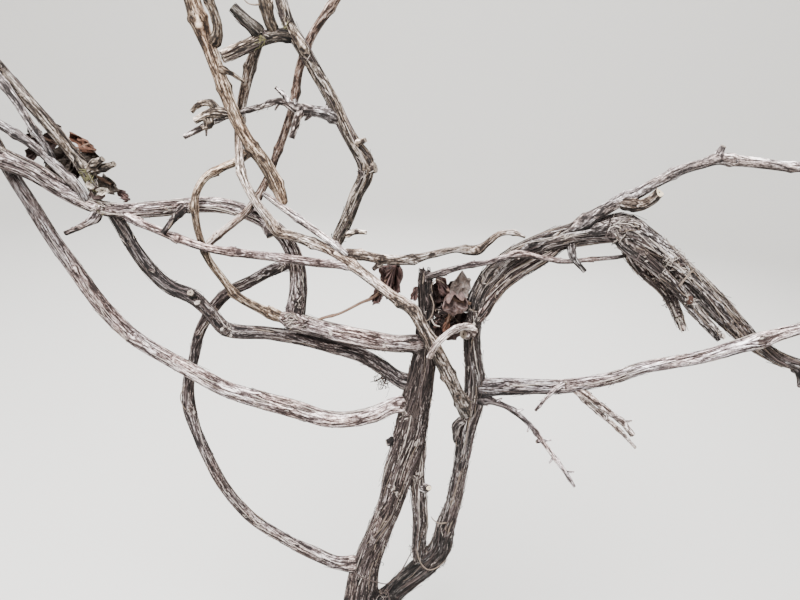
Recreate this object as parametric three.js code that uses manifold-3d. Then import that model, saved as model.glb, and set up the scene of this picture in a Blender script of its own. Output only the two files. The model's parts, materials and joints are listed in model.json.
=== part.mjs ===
// A bare grapevine in late winter, trained flat in one upright plane: a short trunk with a root flare, two
// shaggy stems, the old arms and cordons that leave them, young canes, pruned spurs, dead twigs and a few
// dry leaves.
// Millimetres. +Z is up, +X runs along the plane to the right and +Y away from the viewer.
// The origin is the middle of the trunk's flat cut at ground level.
import * as THREE from "three";
import { mergeVertices } from "three/addons/utils/BufferGeometryUtils.js";
import Module from "manifold-3d";

const wasm = await Module();
wasm.setup();

// Where the vine is looked at from. Places are read on the upright plane through the trunk's foot.
const VIEW_DISTANCE = 720;
const EYE = new THREE.Vector3(55, -VIEW_DISTANCE, 1180);

const JOINT_GAP = 0.45; // free air left all round a limb where it grows out of another
const ROOT_FLARE = 0.55; // how much wider the trunk is at the ground than above its flare
const ROOT_FLARE_HEIGHT = 48; // the height over which the flare dies away
const ROOT_LOBES = 5; // the number of main roots that the flare swells towards
const GROUND_SLAB = 400; // side of the block that trims the trunk off level with the ground
const STEP_PER_RADIUS = 3.1; // spacing of a limb's rings, in radii
const LEAST_STEP = 14;
const MOST_STEP = 32;
const FRAME_STEP = 2; // spacing of the steps that a limb's curve is worked out in
const GOLDEN_ANGLE = 2.39996; // turns the lumps of each limb away from those of the last
const TWIG_REACH = 5; // how far a small side twig stands out of its stem
const TWIG_SHARE = 0.7; // share of a stem's nodes that still have one
const TOUCH_VOLUME = 0.01; // two solids that share less than this don't touch
const LEAF_THICKNESS = 0.035; // of a leaf's length
const LEAF_RIM_POINTS = 9;

const MATERIALS = {
  old_bark: material(0x66594f, 0.95), // shaggy bark of the trunk and stems
  arm_bark: material(0x8a7c76, 0.9), // greyish pink bark of the arms and cordons
  cane_bark: material(0x9a8673, 0.8), // tan bark of one and two year old canes
  dead_spur: material(0x8f877f, 0.9), // grey weathered stubs
  dead_twig: material(0x857c74, 0.9), // grey dead twigs
  young_twig: material(0xa5968c, 0.7), // the pale shoot of the last year
  dry_leaf: material(0x6b4a42, 0.85), // curled brown leaves
};

function material(color, roughness) {
  return new THREE.MeshStandardMaterial({ color, roughness, metalness: 0 });
}

// Each row of a limb is [x, z, depth, radius]: a place as it is seen on the upright plane, how far it
// stands behind that plane, and the radius as it is seen there. Rows run from the limb's root to its tip.
// grows: its bark. rough: how far its lumps stand out, as a share of the radius. from: the limbs that it
// grows out of or is cut clear of. cuts: the rows where it is split in two. spurs: short side shoots,
// fused on, each with rows of its own.
const LIMBS = {
  trunk: {
    grows: "old_bark",
    rough: 0.1,
    rows: [[-4, -30, 0, 38], [2, 60, 0, 34], [8, 150, 0, 32], [16, 250, 0, 33], [28, 325, 0, 37],
      [38, 364, 0, 29], [43, 392, 1, 13]],
  },
  left_stem: {
    grows: "old_bark",
    rough: 0.1,
    from: ["trunk"],
    rows: [[28, 315, 0, 20], [23, 372, -1, 22], [24, 430, -2, 21], [31, 482, -3, 18.5], [44, 528, -4, 17.5],
      [60, 585, -4, 18], [69, 645, -4, 19.5], [80, 705, -2, 21], [87, 765, 0, 20], [91, 812, 0, 17],
      [93, 848, 2, 12]],
    spurs: [[[62, 692, -2, 7], [48, 686, -6, 4.5]]],
  },
  stem_head: {
    grows: "old_bark",
    rough: 0.1,
    from: ["left_stem", "arm_a"],
    rows: [[93, 836, 4, 9], [90, 865, 4, 9.5], [89, 902, 3, 9.5], [86, 930, 2, 9], [84, 949, 1, 6.5]],
  },
  right_stem: {
    grows: "old_bark",
    rough: 0.11,
    from: ["trunk", "left_stem"],
    cuts: [5],
    rows: [[38, 338, 0, 17], [51, 376, 0, 16.5], [72, 410, 1, 15.5], [96, 442, 2, 16], [122, 474, 3, 16],
      [140, 508, 3, 14], [143, 545, 3, 13], [151, 590, 2, 11], [156, 650, 2, 10], [159, 710, 2, 10.5],
      [163, 765, 1, 13], [162, 795, 0, 13], [155, 835, -1, 11], [152, 868, -1, 11], [154, 898, -2, 10]],
    spurs: [[[157, 735, 1, 6], [145, 722, -5, 5.5], [145, 700, -5, 4.2], [148, 691, -3, 3]]],
  },
  middle_stem: {
    grows: "old_bark",
    rough: 0.1,
    from: ["right_stem", "left_stem"],
    rows: [[112, 468, 6, 8], [106, 505, 4, 9], [105, 550, 4, 10], [100, 595, 3, 10.5], [95, 640, 2, 10],
      [96, 680, 3, 9], [90, 716, 4, 7]],
    spurs: [[[100, 611, -1, 6], [112, 613, -11, 5.4], [114, 613, -17, 5]]],
  },
  low_arm: {
    grows: "arm_bark",
    rough: 0.07,
    from: ["left_stem", "left_cordon"],
    cuts: [5, 9],
    rows: [[24, 466, -2, 9], [4, 462, -4, 10], [-20, 463, -6, 9], [-50, 476, -6, 8.8], [-98, 503, -5, 8],
      [-148, 540, -3, 7.8], [-186, 592, 0, 7], [-206, 640, 2, 7.2], [-222, 690, 6, 7], [-229, 725, 10, 8.6],
      [-227, 765, 15, 7.4], [-217, 804, 19, 6.8], [-208, 838, 21, 6.8], [-193, 868, 22, 7],
      [-171, 896, 23, 6.8], [-140, 915, 20, 7], [-114, 931, 17, 7.2], [-88, 945, 11, 7]],
  },
  arc_arm: {
    grows: "arm_bark",
    rough: 0.06,
    from: ["left_stem"],
    cuts: [5, 10],
    rows: [[76, 752, -2, 9.5], [56, 748, -6, 10], [30, 733, -9, 11], [0, 723, -10, 11.3],
      [-35, 720, -10, 11.3], [-80, 732, -9, 11.5], [-130, 744, -8, 11], [-175, 758, -6, 10.5],
      [-215, 779, -5, 10.2], [-255, 802, -3, 9.6], [-295, 828, -1, 9.4], [-330, 868, 1, 9.2],
      [-362, 920, 6, 8.8], [-388, 966, 10, 8.4], [-406, 1006, 14, 8.2], [-421, 1037, 18, 7.6],
      [-437, 1077, 17, 6.8], [-452, 1120, 10, 6], [-470, 1165, 4, 5]],
    spurs: [[[-447, 1106, 12, 4], [-436, 1122, 8, 3.4], [-433, 1140, 6, 2.8]]],
  },
  arm_a: {
    grows: "arm_bark",
    rough: 0.07,
    from: ["left_stem"],
    rows: [[94, 842, 0, 9], [78, 843, -4, 10.8], [48, 842, -8, 11], [18, 845, -10, 11.8],
      [-20, 851, -10, 11.4], [-52, 858, -10, 11], [-84, 866, -9, 12.5], [-99, 870, -8, 7]],
  },
  arm_b: {
    grows: "arm_bark",
    rough: 0.09,
    from: ["left_stem", "left_cordon"],
    cuts: [7],
    rows: [[78, 782, 4, 10], [58, 790, 6, 10], [36, 806, 8, 10], [8, 822, 9, 9.5], [-30, 832, 9, 9],
      [-70, 841, 8, 9], [-120, 846, 6, 8.5], [-172, 848, 3, 9.5], [-190, 868, 2, 8.6], [-212, 890, 2, 9.4],
      [-240, 902, 2, 8.4], [-262, 922, 3, 7.8], [-282, 952, 4, 7.6], [-298, 984, 3, 7.2],
      [-308, 1000, 2, 6]],
    spurs: [[[-212, 892, -3, 5], [-216, 897, -10, 3.6]]],
  },
  hook_cane: {
    grows: "cane_bark",
    rough: 0.05,
    from: ["arm_a", "top_left_cane"],
    cuts: [6],
    rows: [[-84, 866, -9, 7], [-106, 872, -7, 6.2], [-130, 882, -4, 5.6], [-155, 896, -2, 5.2],
      [-174, 920, 0, 4.8], [-190, 944, 0, 4.6], [-198, 970, -5, 4.6], [-202, 997, -14, 4.6],
      [-200, 1024, -14, 4.6], [-187, 1046, -8, 4.6], [-166, 1059, 1, 4.6], [-147, 1068, 11, 4.6],
      [-134, 1078, 6, 4.6], [-128, 1086, -5, 4]],
  },
  left_cordon: {
    grows: "arm_bark",
    rough: 0.1,
    from: ["arm_a"],
    cuts: [4, 9],
    rows: [[-84, 866, -6, 10], [-78, 892, -2, 10.8], [-76, 924, 2, 10.8], [-81, 955, 4, 10],
      [-96, 982, 4, 9], [-120, 999, 3, 8], [-160, 1012, 2, 8.3], [-200, 1012, 2, 8.5], [-250, 1004, 2, 9],
      [-300, 999, 0, 9.3], [-330, 1005, -1, 9.3], [-362, 1020, -2, 9.6], [-395, 1041, -3, 10.5],
      [-430, 1055, -4, 11.3], [-475, 1078, -3, 10], [-520, 1098, -2, 8.5], [-565, 1118, 0, 7]],
    spurs: [
      [[-117, 995, -2, 5.6], [-114, 987, -6, 5], [-110, 977, -9, 4.4]],
      [[-214, 1008, -4, 5], [-226, 996, -16, 4.2], [-245, 973, -27, 3.6]],
      [[-319, 1001, -3, 5.6], [-329, 987, -9, 4.6], [-346, 976, -13, 3.6], [-367, 966, -17, 3]],
      [[-505, 1090, -4, 5], [-518, 1112, -8, 4.2], [-524, 1136, -10, 3.6]],
    ],
  },
  mid_cane: {
    grows: "cane_bark",
    rough: 0.05,
    from: ["left_cordon", "cross_cane"],
    rows: [[-292, 996, -2, 5], [-276, 987, -10, 4.6], [-248, 976, -16, 4.8], [-222, 967, -17, 5],
      [-190, 958, -17, 5.2], [-150, 954, -18, 5.4], [-100, 951, -18, 5.6], [-50, 947, -17, 5.6],
      [-20, 946, -16, 5.2], [-4, 943, -15, 4]],
  },
  cross_cane: {
    grows: "cane_bark",
    rough: 0.05,
    from: ["right_stem", "top_side_limb"],
    cuts: [7, 12],
    rows: [[158, 737, -2, 7.5], [147, 760, -16, 9], [118, 815, -29, 9.3], [84, 872, -29, 7.6],
      [73, 890, -27, 8.2], [50, 905, -24, 6.7], [0, 941, -16, 6.7], [-30, 962, -14, 6.5],
      [-78, 979, -17, 6], [-101, 985, -20, 6.3], [-113, 1001, -22, 5.6], [-127, 1020, -24, 5.2],
      [-142, 1050, -18, 5], [-145, 1079, -1, 5.2], [-142, 1120, 13, 5.6], [-131, 1165, 12, 6],
      [-117, 1204, 3, 5.6]],
  },
  upper_spray: {
    grows: "cane_bark",
    rough: 0.06,
    from: ["cross_cane"],
    rows: [[-28, 962, -13, 4.6], [0, 961, -10, 5.8], [28, 957, -8, 6], [60, 958, -8, 6], [92, 967, -8, 4.6],
      [120, 975, -8, 4], [147, 976, -9, 6.6], [158, 985, -9, 4.4], [172, 998, -8, 3.8],
      [188, 1001, -8, 3.4], [204, 996, -8, 1.8]],
    spurs: [[[30, 954, -9, 4.4], [19, 943, -8, 2.6]]],
  },
  upper_thin_cane: {
    grows: "cane_bark",
    rough: 0.04,
    from: ["cross_cane", "upper_spray"],
    rows: [[-14, 960, -18, 3], [-30, 972, -22, 3.8], [-50, 985, -22, 4.2], [-75, 1002, -20, 4.2],
      [-100, 1019, -18, 4], [-118, 1031, -17, 3]],
  },
  top_left_cane: {
    grows: "cane_bark",
    rough: 0.06,
    from: ["upper_thin_cane"],
    rows: [[-93, 1018, -16, 4.8], [-98, 1034, -13, 7], [-107, 1053, -12, 8], [-118, 1071, -12, 8.3],
      [-131, 1087, -11, 7.5], [-148, 1118, -10, 7.8], [-160, 1151, -9, 7.5], [-173, 1188, -8, 8],
      [-182, 1212, -8, 8.8], [-190, 1239, -8, 8.4], [-205, 1295, -6, 7.5], [-222, 1352, -4, 6]],
    spurs: [
      [[-168, 1171, -8, 4], [-150, 1165, -17, 2.6], [-135, 1156, -19, 2]],
      [[-176, 1188, -8, 5.4], [-164, 1205, -8, 5.2], [-166, 1224, -6, 5], [-175, 1246, -4, 4.4],
        [-184, 1280, -2, 3.4]],
      [[-213, 1322, -5, 4.4], [-201, 1338, -8, 3.4], [-198, 1354, -10, 2.8]],
    ],
  },
  top_limb: {
    grows: "arm_bark",
    rough: 0.08,
    from: ["cross_cane", "upper_spray"],
    cuts: [5],
    rows: [[-30, 969, -8, 6], [-23, 987, -2, 8], [-14, 1008, 0, 8], [-4, 1038, -2, 8], [5, 1058, -4, 8.6],
      [4, 1076, -5, 9.4], [-10, 1096, -6, 7.5], [-22, 1116, -6, 7], [-34, 1139, -6, 7.2],
      [-68, 1194, -6, 7.2], [-84, 1218, -5, 6.6], [-92, 1238, -4, 6.5], [-98, 1268, -3, 6.2],
      [-99, 1312, -2, 5.4], [-91, 1364, 0, 4.4]],
    spurs: [
      [[-19, 985, -3, 4.4], [-4, 990, -5, 3.2], [9, 990, -6, 2.4]],
      [[5, 1066, -5, 6.4], [17, 1070, -8, 5]],
      [[-8, 1095, -8, 4.6], [4, 1101, -13, 2.8]],
      [[-99, 1318, -2, 4.4], [-86, 1332, -6, 3.4], [-80, 1352, -9, 2.6]],
    ],
  },
  top_side_limb: {
    grows: "arm_bark",
    rough: 0.09,
    from: ["top_limb"],
    rows: [[-76, 1205, -6, 5.6], [-93, 1208, -7, 6.4], [-112, 1204, -7, 7], [-126, 1197, -10, 6.6],
      [-145, 1188, -16, 7], [-161, 1181, -23, 6.6]],
  },
  top_stub: {
    grows: "arm_bark",
    rough: 0.1,
    from: ["top_side_limb"],
    rows: [[-112, 1203, -8, 5.6], [-122, 1213, -10, 6.5], [-134, 1222, -12, 6.2], [-147, 1234, -12, 5.4]],
  },
  top_middle_cane: {
    grows: "cane_bark",
    rough: 0.06,
    from: ["top_side_limb"],
    rows: [[-98, 1207, -7, 5], [-106, 1222, -8, 6.2], [-111, 1241, -7, 6.3], [-122, 1286, -5, 5.4],
      [-141, 1336, -2, 4.2]],
  },
  red_cane: {
    grows: "cane_bark",
    rough: 0.03,
    from: ["mid_cane"],
    cuts: [6],
    rows: [[-191, 960, -14, 3.6], [-180, 971, -14, 4.2], [-160, 988, -14, 4.4], [-140, 1006, -13, 4.5],
      [-124, 1028, -7, 4.6], [-111, 1052, 5, 4.6], [-100, 1080, 7, 4.6], [-88, 1112, 7, 4.6],
      [-79, 1142, 8, 4.6], [-73, 1175, 9, 4.6], [-60, 1208, 9, 4.6], [-36, 1243, 5, 4.8],
      [-9, 1281, 1, 4.4], [11, 1326, 0, 3.6]],
  },
  upper_left_cane: {
    grows: "cane_bark",
    rough: 0.07,
    from: ["left_cordon"],
    rows: [[-318, 1011, 0, 6], [-325, 1030, 2, 7], [-331, 1047, 3, 8], [-350, 1075, 3, 6.8],
      [-370, 1101, 2, 6.8], [-392, 1128, 1, 6.8], [-415, 1157, 0, 6.8], [-440, 1188, -1, 6],
      [-474, 1224, -2, 4.8]],
    spurs: [
      [[-330, 1044, 1, 5], [-318, 1055, -3, 4.2], [-308, 1061, -4, 3.2]],
      [[-326, 1045, 1, 5], [-309, 1050, 1, 4], [-295, 1056, 0, 3.2]],
      [[-452, 1201, -1, 4.4], [-448, 1220, -4, 3.4], [-452, 1240, -6, 2.8]],
    ],
  },
  upper_left_low_cane: {
    grows: "cane_bark",
    rough: 0.05,
    from: ["left_cordon"],
    rows: [[-334, 1006, -5, 4.8], [-342, 1024, -9, 5.2], [-361, 1044, -8, 5.4], [-382, 1065, -5, 5.4],
      [-402, 1080, -4, 5.2], [-426, 1094, -4, 5.4], [-460, 1112, -4, 5], [-506, 1141, -4, 4]],
  },
  upper_left_thin_cane: {
    grows: "cane_bark",
    rough: 0.05,
    from: ["upper_left_low_cane"],
    rows: [[-366, 1050, -5, 3.4], [-374, 1070, -5, 4], [-388, 1094, -7, 4.4], [-402, 1122, -10, 4.8],
      [-418, 1146, -13, 4.8], [-437, 1176, -14, 4.2], [-453, 1210, -14, 3.4]],
  },
  right_cordon: {
    grows: "old_bark",
    rough: 0.11,
    from: ["right_stem"],
    cuts: [6],
    rows: [[153, 886, -1, 9], [155, 915, -1, 11], [166, 942, -1, 11.3], [184, 963, -2, 11.5],
      [214, 983, -3, 12], [250, 998, -3, 13], [292, 1009, -2, 14.5], [322, 1015, -1, 16.5],
      [352, 1001, 0, 15.2], [384, 980, 2, 13.4], [419, 953, 4, 13.4], [454, 924, 7, 13.5],
      [490, 896, 11, 12], [522, 872, 15, 10], [560, 852, 13, 8.6], [602, 842, 8, 6.8]],
    spurs: [
      [[262, 992, -7, 5.4], [266, 975, -23, 3.6], [284, 957, -26, 2.8]],
      [[574, 848, 11, 5], [590, 832, 6, 3.8], [596, 814, 4, 3]],
    ],
  },
  right_fork: {
    grows: "old_bark",
    rough: 0.1,
    from: ["right_stem", "right_cordon"],
    rows: [[156, 878, -5, 8], [167, 905, -7, 7], [180, 929, -7, 7.5], [201, 951, -6, 8], [227, 970, -5, 8],
      [250, 990, -3, 6.5]],
  },
  right_second_limb: {
    grows: "arm_bark",
    rough: 0.1,
    from: ["right_cordon"],
    rows: [[314, 1007, -8, 6.5], [332, 991, -12, 7], [353, 979, -13, 7], [374, 965, -12, 7],
      [394, 948, -10, 6.8], [414, 931, -8, 6.4], [440, 906, -6, 6.2], [460, 889, -4, 5.8],
      [475, 876, -3, 4.4]],
  },
  right_third_limb: {
    grows: "arm_bark",
    rough: 0.1,
    from: ["right_cordon"],
    rows: [[323, 1005, 9, 6], [335, 984, 14, 6.5], [352, 966, 16, 6.5], [372, 951, 16, 6.5],
      [392, 934, 14, 6.4], [408, 913, 11, 5.6], [418, 896, 9, 4.6], [424, 884, 9, 3.2]],
  },
  upper_right_cane: {
    grows: "cane_bark",
    rough: 0.06,
    from: ["right_cordon"],
    rows: [[250, 1001, -4, 6], [268, 1015, -6, 7], [290, 1032, -6, 7.2], [312, 1048, -6, 7.4],
      [330, 1058, -6, 6.8], [352, 1073, -5, 6.2], [376, 1088, -4, 6], [400, 1097, -4, 6],
      [415, 1103, -4, 7], [440, 1102, -4, 6], [466, 1101, -3, 5.8], [510, 1099, -2, 5.2],
      [552, 1104, 0, 4.6], [594, 1119, 2, 3.8]],
    spurs: [
      [[414, 1104, -5, 4.4], [418, 1118, -8, 3.2]],
      [[541, 1103, 0, 4], [554, 1120, -5, 3.2], [559, 1138, -8, 2.6]],
    ],
  },
  cut_stub: {
    grows: "dead_spur",
    rough: 0.08,
    from: ["upper_right_cane"],
    rows: [[308, 1045, -8, 6], [322, 1044, -13, 6], [338, 1044, -15, 6], [350, 1052, -16, 5.8],
      [357, 1062, -18, 5.4]],
  },
  thin_cane: {
    grows: "cane_bark",
    rough: 0.04,
    from: ["stem_head"],
    rows: [[84, 936, -1, 4], [98, 941, -9, 4], [130, 953, -15, 3.7], [165, 962, -19.5, 3.6],
      [198, 974, -21, 4.4], [228, 971, -21, 3.2], [258, 968, -17, 3], [290, 973, -10, 2.8],
      [318, 977, -3, 2.6], [331, 980, -1, 2.2]],
  },
  right_arm: {
    grows: "arm_bark",
    rough: 0.06,
    from: ["right_stem"],
    cuts: [6],
    rows: [[158, 782, -2, 10], [176, 784, -4, 10.5], [205, 787, -5, 11], [245, 790, -6, 9.6],
      [282, 793, -6, 9.6], [300, 797, -6, 9.4], [340, 808, -7, 8], [382, 827, -8, 7.8], [420, 838, -9, 7.8],
      [460, 850, -10, 8], [498, 866, -11, 9], [524, 876, -11, 10.5], [550, 888, -10, 8],
      [590, 903, -8, 6.5], [628, 913, -6, 4.8]],
    spurs: [
      [[284, 798, -9, 3], [276, 792, -17.5, 2.4], [266, 780, -16.5, 2.4], [257, 765, -11, 2.1],
        [250, 753, -8, 1.7]],
      [[582, 900, -9, 5], [592, 918, -14, 3.8], [594, 936, -17, 3.2]],
    ],
  },
  hooked_spur: {
    grows: "dead_spur",
    rough: 0.04,
    from: ["right_stem"],
    rows: [[153, 858, -4, 6], [146, 871, -16, 5.2], [132, 869, -31, 4.4], [117, 857, -43, 4.3],
      [106, 842, -48, 4.3], [98, 824, -47, 3.6]],
    spurs: [[[150, 862, -9, 6], [140, 861, -17, 5.4]]],
  },
};

// The masses of bare twigs: each is one stem, with side twigs that show, fused on as spurs, and small ones
// at its nodes, which sideTwigs grows by rule.
const TWIG_MASSES = {
  dead_twigs: {
    grows: "dead_twig",
    rough: 0.07,
    from: ["top_limb"],
    rows: [[-23, 1118, -6, 5.4], [-40, 1127, -8, 6], [-58, 1130, -8, 5.6], [-76, 1132, -8, 5.2],
      [-96, 1138, -8, 3.2], [-118, 1131, -4, 2.9], [-140, 1124, 1, 2.9], [-160, 1117, 4, 3],
      [-182, 1107, 2, 3.2], [-209, 1092, 0, 3]],
    spurs: [
      [[-70, 1131, -10, 4], [-76, 1120, -16, 3.8], [-83, 1098, -19, 3.4]],
      [[-84, 1134, -8, 3.2], [-92, 1146, -10, 2.2], [-101, 1153, -11, 1.6]],
    ],
  },
  upper_spurs: {
    grows: "dead_twig",
    rough: 0.1,
    from: ["top_left_cane"],
    rows: [[-154, 1121, -12, 5], [-168, 1122, -15, 5], [-182, 1118, -15, 4.8], [-195, 1111, -14, 3.6]],
    spurs: [
      [[-167, 1122, -15, 4.2], [-175, 1132, -14, 3.6], [-190, 1129, -14, 3.2], [-198, 1121, -14, 2.4]],
      [[-180, 1119, -15, 3.4], [-177, 1108, -15, 3], [-188, 1103, -14, 2.4]],
    ],
  },
  thin_shoot: {
    grows: "young_twig",
    rough: 0.03,
    from: ["right_stem", "right_arm"],
    rows: [[166, 764, -3, 6.4], [180, 766, -9, 6], [194, 762, -11, 4.4], [208, 757, -12, 3.8],
      [222, 749, -12, 3.8], [246, 729, -12, 3.6], [266, 705, -12, 3.4], [286, 680, -12, 3.2],
      [306, 655, -12, 3], [323, 631, -12, 2.2]],
    spurs: [[[264, 707, -12, 3], [258, 702, -15, 2.2]]],
  },
  right_twigs: {
    grows: "dead_twig",
    rough: 0.05,
    from: ["right_arm"],
    rows: [[295, 791, -8, 6], [312, 783, -13, 4.6], [330, 772, -15, 4.2], [350, 757, -15, 4],
      [372, 742, -15, 3.8], [389, 724, -15, 4.2]],
    spurs: [[[304, 787, -9, 4.2], [314, 774, -10, 3.4], [335, 757, -8, 3.2], [358, 739, -8, 3],
      [378, 722, -8, 2.6], [397, 703, -8, 1.8]]],
  },
};

// Dry leaves that hang in the vine. Each mass has twigs as above, and leaves of [x, z, depth, size, turn],
// where turn is how many degrees the leaf's tip is turned round from straight down, clockwise as seen.
const LEAF_MASSES = {
  dry_leaves_low: {
    from: ["arm_a"],
    twigs: [[[-58, 860, -8, 2.4], [-48, 870, -9, 1.9], [-22, 880, -9, 1.8], [4, 896, -5, 1.8],
      [24, 908, -1, 1.8], [42, 944, 3, 1.8]]],
    leaves: [[44, 930, 3, 46, 10], [22, 903, -1, 27, 60]],
  },
  dry_leaves_head: {
    from: ["right_stem", "right_cordon"],
    twigs: [[[155, 903, -2, 3.2], [141, 906, -13, 2.2], [127, 908, -14, 2], [114, 922, -10, 1.8]],
      [[127, 908, -14, 2], [121, 890, -12, 1.8], [118, 876, -10, 1.6]]],
    leaves: [[126, 905, -13, 38, 150], [131, 930, -10, 29, 190], [111, 924, -10, 25, 240],
      [117, 870, -9, 27, 0]],
  },
  dry_leaves_left: {
    from: ["upper_left_cane"],
    twigs: [[[-331, 1047, 4, 3], [-339, 1062, 14, 2], [-358, 1074, 17, 1.8], [-384, 1085, 15, 1.6]],
      [[-330, 1043, 4, 2.6], [-315, 1038, 12, 1.8], [-302, 1031, 12, 1.6]],
      [[-339, 1062, 14, 1.8], [-333, 1072, 16, 1.6], [-322, 1078, 14, 1.5]]],
    leaves: [[-333, 1080, 15, 32, 260], [-321, 1067, 16, 28, 330], [-302, 1029, 12, 27, 20],
      [-358, 1066, 17, 30, 60], [-385, 1084, 15, 24, 90]],
  },
};

const STEMS = { ...LIMBS, ...TWIG_MASSES };

// The place and the radius that a row stands for: nearer the eye than the plane, a limb is smaller than
// it looks.
function seen([x, z, depth, radius]) {
  const scale = 1 + depth / VIEW_DISTANCE;
  const place = new THREE.Vector3(x, 0, z).sub(EYE).multiplyScalar(scale).add(EYE);
  return { place, radius: radius * scale };
}

function curveOf(rows) {
  return new THREE.CatmullRomCurve3(rows.map((row) => seen(row).place), false, "centripetal");
}

// The radius at a share u of the curve's length, eased from row to row.
function radiusAt(curve, rows, u) {
  const t = curve.getUtoTmapping(u) * (rows.length - 1);
  const i = Math.min(Math.floor(t), rows.length - 2);
  const [from, to] = [seen(rows[i]).radius, seen(rows[i + 1]).radius];
  return THREE.MathUtils.lerp(from, to, THREE.MathUtils.smoothstep(t - i, 0, 1));
}

// How old wood bulges or sinks, from -1 to 1, at an angle round the limb and a distance along it.
function lump(theta, along, phase) {
  const slow = Math.sin(2 * theta + along / 41 + phase);
  const quick = Math.sin(3 * theta - along / 27 + 2 * phase);
  return 0.6 * slow + 0.4 * quick;
}

// How far the trunk's foot swells towards its main roots, as a share of the radius at that height.
function rootFlare(theta, height) {
  const lobes = 0.7 + 0.2 * Math.cos(ROOT_LOBES * theta) + 0.1 * Math.cos(2 * theta + 1);
  return ROOT_FLARE * lobes * Math.exp(-Math.max(height, 0) / ROOT_FLARE_HEIGHT);
}

function sidesFor(radius) {
  if (radius > 14) return 12;
  if (radius > 8.5) return 8;
  if (radius > 5.5) return 7;
  return radius > 3 ? 6 : 5;
}

// A limb's curve in short even steps, each with its place along the limb and its frame across it.
function stepsOf(rows) {
  const curve = curveOf(rows);
  const length = curve.getLength();
  const count = Math.ceil(length / FRAME_STEP);
  const frames = curve.computeFrenetFrames(count, false);
  const stepAtRow = (row) => {
    let k = 0;
    while (k < count && curve.getUtoTmapping(k / count) < row / (rows.length - 1)) k += 1;
    return k;
  };
  return { curve, length, count, frames, stepAtRow };
}

// One ring of points round a limb at a step k of its curve, moved along it by shift and widened by grow.
function ringAt(rows, { curve, length, count, frames }, k, shift, sides, { rough, phase, flared, grow }) {
  const u = THREE.MathUtils.clamp(k / count + shift / length, 0, 1);
  const past = (k / count - u) * length + shift;
  const centre = curve.getPointAt(u).addScaledVector(curve.getTangentAt(u), past);
  const reach = radiusAt(curve, rows, u);
  return Array.from({ length: sides }, (_, j) => {
    const theta = (2 * Math.PI * j) / sides;
    const flare = flared ? rootFlare(theta, centre.z) : 0;
    const r = reach * (1 + rough * lump(theta, u * length, phase) + flare) + grow;
    return centre.clone().addScaledVector(frames.normals[k], r * Math.cos(theta))
      .addScaledVector(frames.binormals[k], r * Math.sin(theta));
  });
}

// A closed geometry from rings: side faces in quads and a fan on each end.
function skin(rings) {
  const sides = rings[0].length;
  const middle = (ring) => ring.reduce((sum, p) => sum.add(p), new THREE.Vector3()).divideScalar(sides);
  const points = [...rings.flat(), middle(rings[0]), middle(rings.at(-1))];
  const last = (rings.length - 1) * sides;
  const faces = [];
  for (let j = 0; j < sides; j += 1) {
    const next = (j + 1) % sides;
    for (let base = 0; base < last; base += sides) {
      const above = base + sides;
      faces.push(base + j, base + next, above + next, base + j, above + next, above + j);
    }
    faces.push(points.length - 2, next, j, points.length - 1, last + j, last + next);
  }
  return new THREE.BufferGeometry().setFromPoints(points).setIndex(faces);
}

function solidOf(geometry) {
  return new wasm.Manifold(new wasm.Mesh({
    numProp: 3,
    vertProperties: new Float32Array(geometry.getAttribute("position").array),
    triVerts: new Uint32Array(geometry.index.array),
  }));
}

function geometryOf(solid) {
  const { vertProperties, triVerts } = solid.getMesh();
  return new THREE.BufferGeometry()
    .setAttribute("position", new THREE.BufferAttribute(vertProperties, 3))
    .setIndex(new THREE.BufferAttribute(triVerts, 1));
}

// A cut can leave a sliver beside the limb: only the largest body is kept.
function largest(solid) {
  return solid.decompose().reduce((best, body) => (body.volume() > best.volume() ? body : best));
}

// The tapering pieces of a limb, each as a solid, from root to tip, with a gap between them at the cuts.
function taper(rows, options, cuts = []) {
  const steps = stepsOf(rows);
  const radius = rows.reduce((sum, row) => sum + row[3], 0) / rows.length;
  const sides = sidesFor(radius);
  const spacing = THREE.MathUtils.clamp(STEP_PER_RADIUS * radius, LEAST_STEP, MOST_STEP) / FRAME_STEP;
  const ends = [0, ...cuts.map(steps.stepAtRow), steps.count];
  return ends.slice(1).map((end, i) => {
    const start = ends[i];
    const rings = Math.max(2, Math.ceil((end - start) / spacing));
    const opening = (start > 0 ? JOINT_GAP / 2 : 0) - options.grow;
    const closing = options.grow - (end < steps.count ? JOINT_GAP / 2 : 0);
    return solidOf(skin(Array.from({ length: rings + 1 }, (_, n) => {
      const k = Math.round(THREE.MathUtils.lerp(start, end, n / rings));
      const shift = (n === 0 ? opening : 0) + (n === rings ? closing : 0);
      return ringAt(rows, steps, k, shift, sides, options);
    })));
  });
}

// Fuses each spur to the piece that its root is sunk in.
function addSpurs(pieces, spurs, options) {
  for (const rows of spurs ?? []) {
    const [spur] = taper(rows, { ...options, flared: false });
    const shared = pieces.map((piece) => piece.intersect(spur).volume());
    const home = shared.indexOf(Math.max(...shared));
    pieces[home] = pieces[home].add(spur);
  }
  return pieces;
}

// The block under the ground that the trunk's foot is cut off level by.
function ground() {
  const slab = new THREE.BoxGeometry(GROUND_SLAB, GROUND_SLAB, GROUND_SLAB);
  slab.translate(0, 0, -GROUND_SLAB / 2);
  slab.deleteAttribute("normal");
  slab.deleteAttribute("uv");
  return solidOf(mergeVertices(slab));
}

// Random numbers from 0 to 1 that are the same on each run.
function seeded(seed) {
  let state = seed;
  return () => {
    state = (state * 16807) % 2147483647;
    return state / 2147483647;
  };
}

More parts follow.
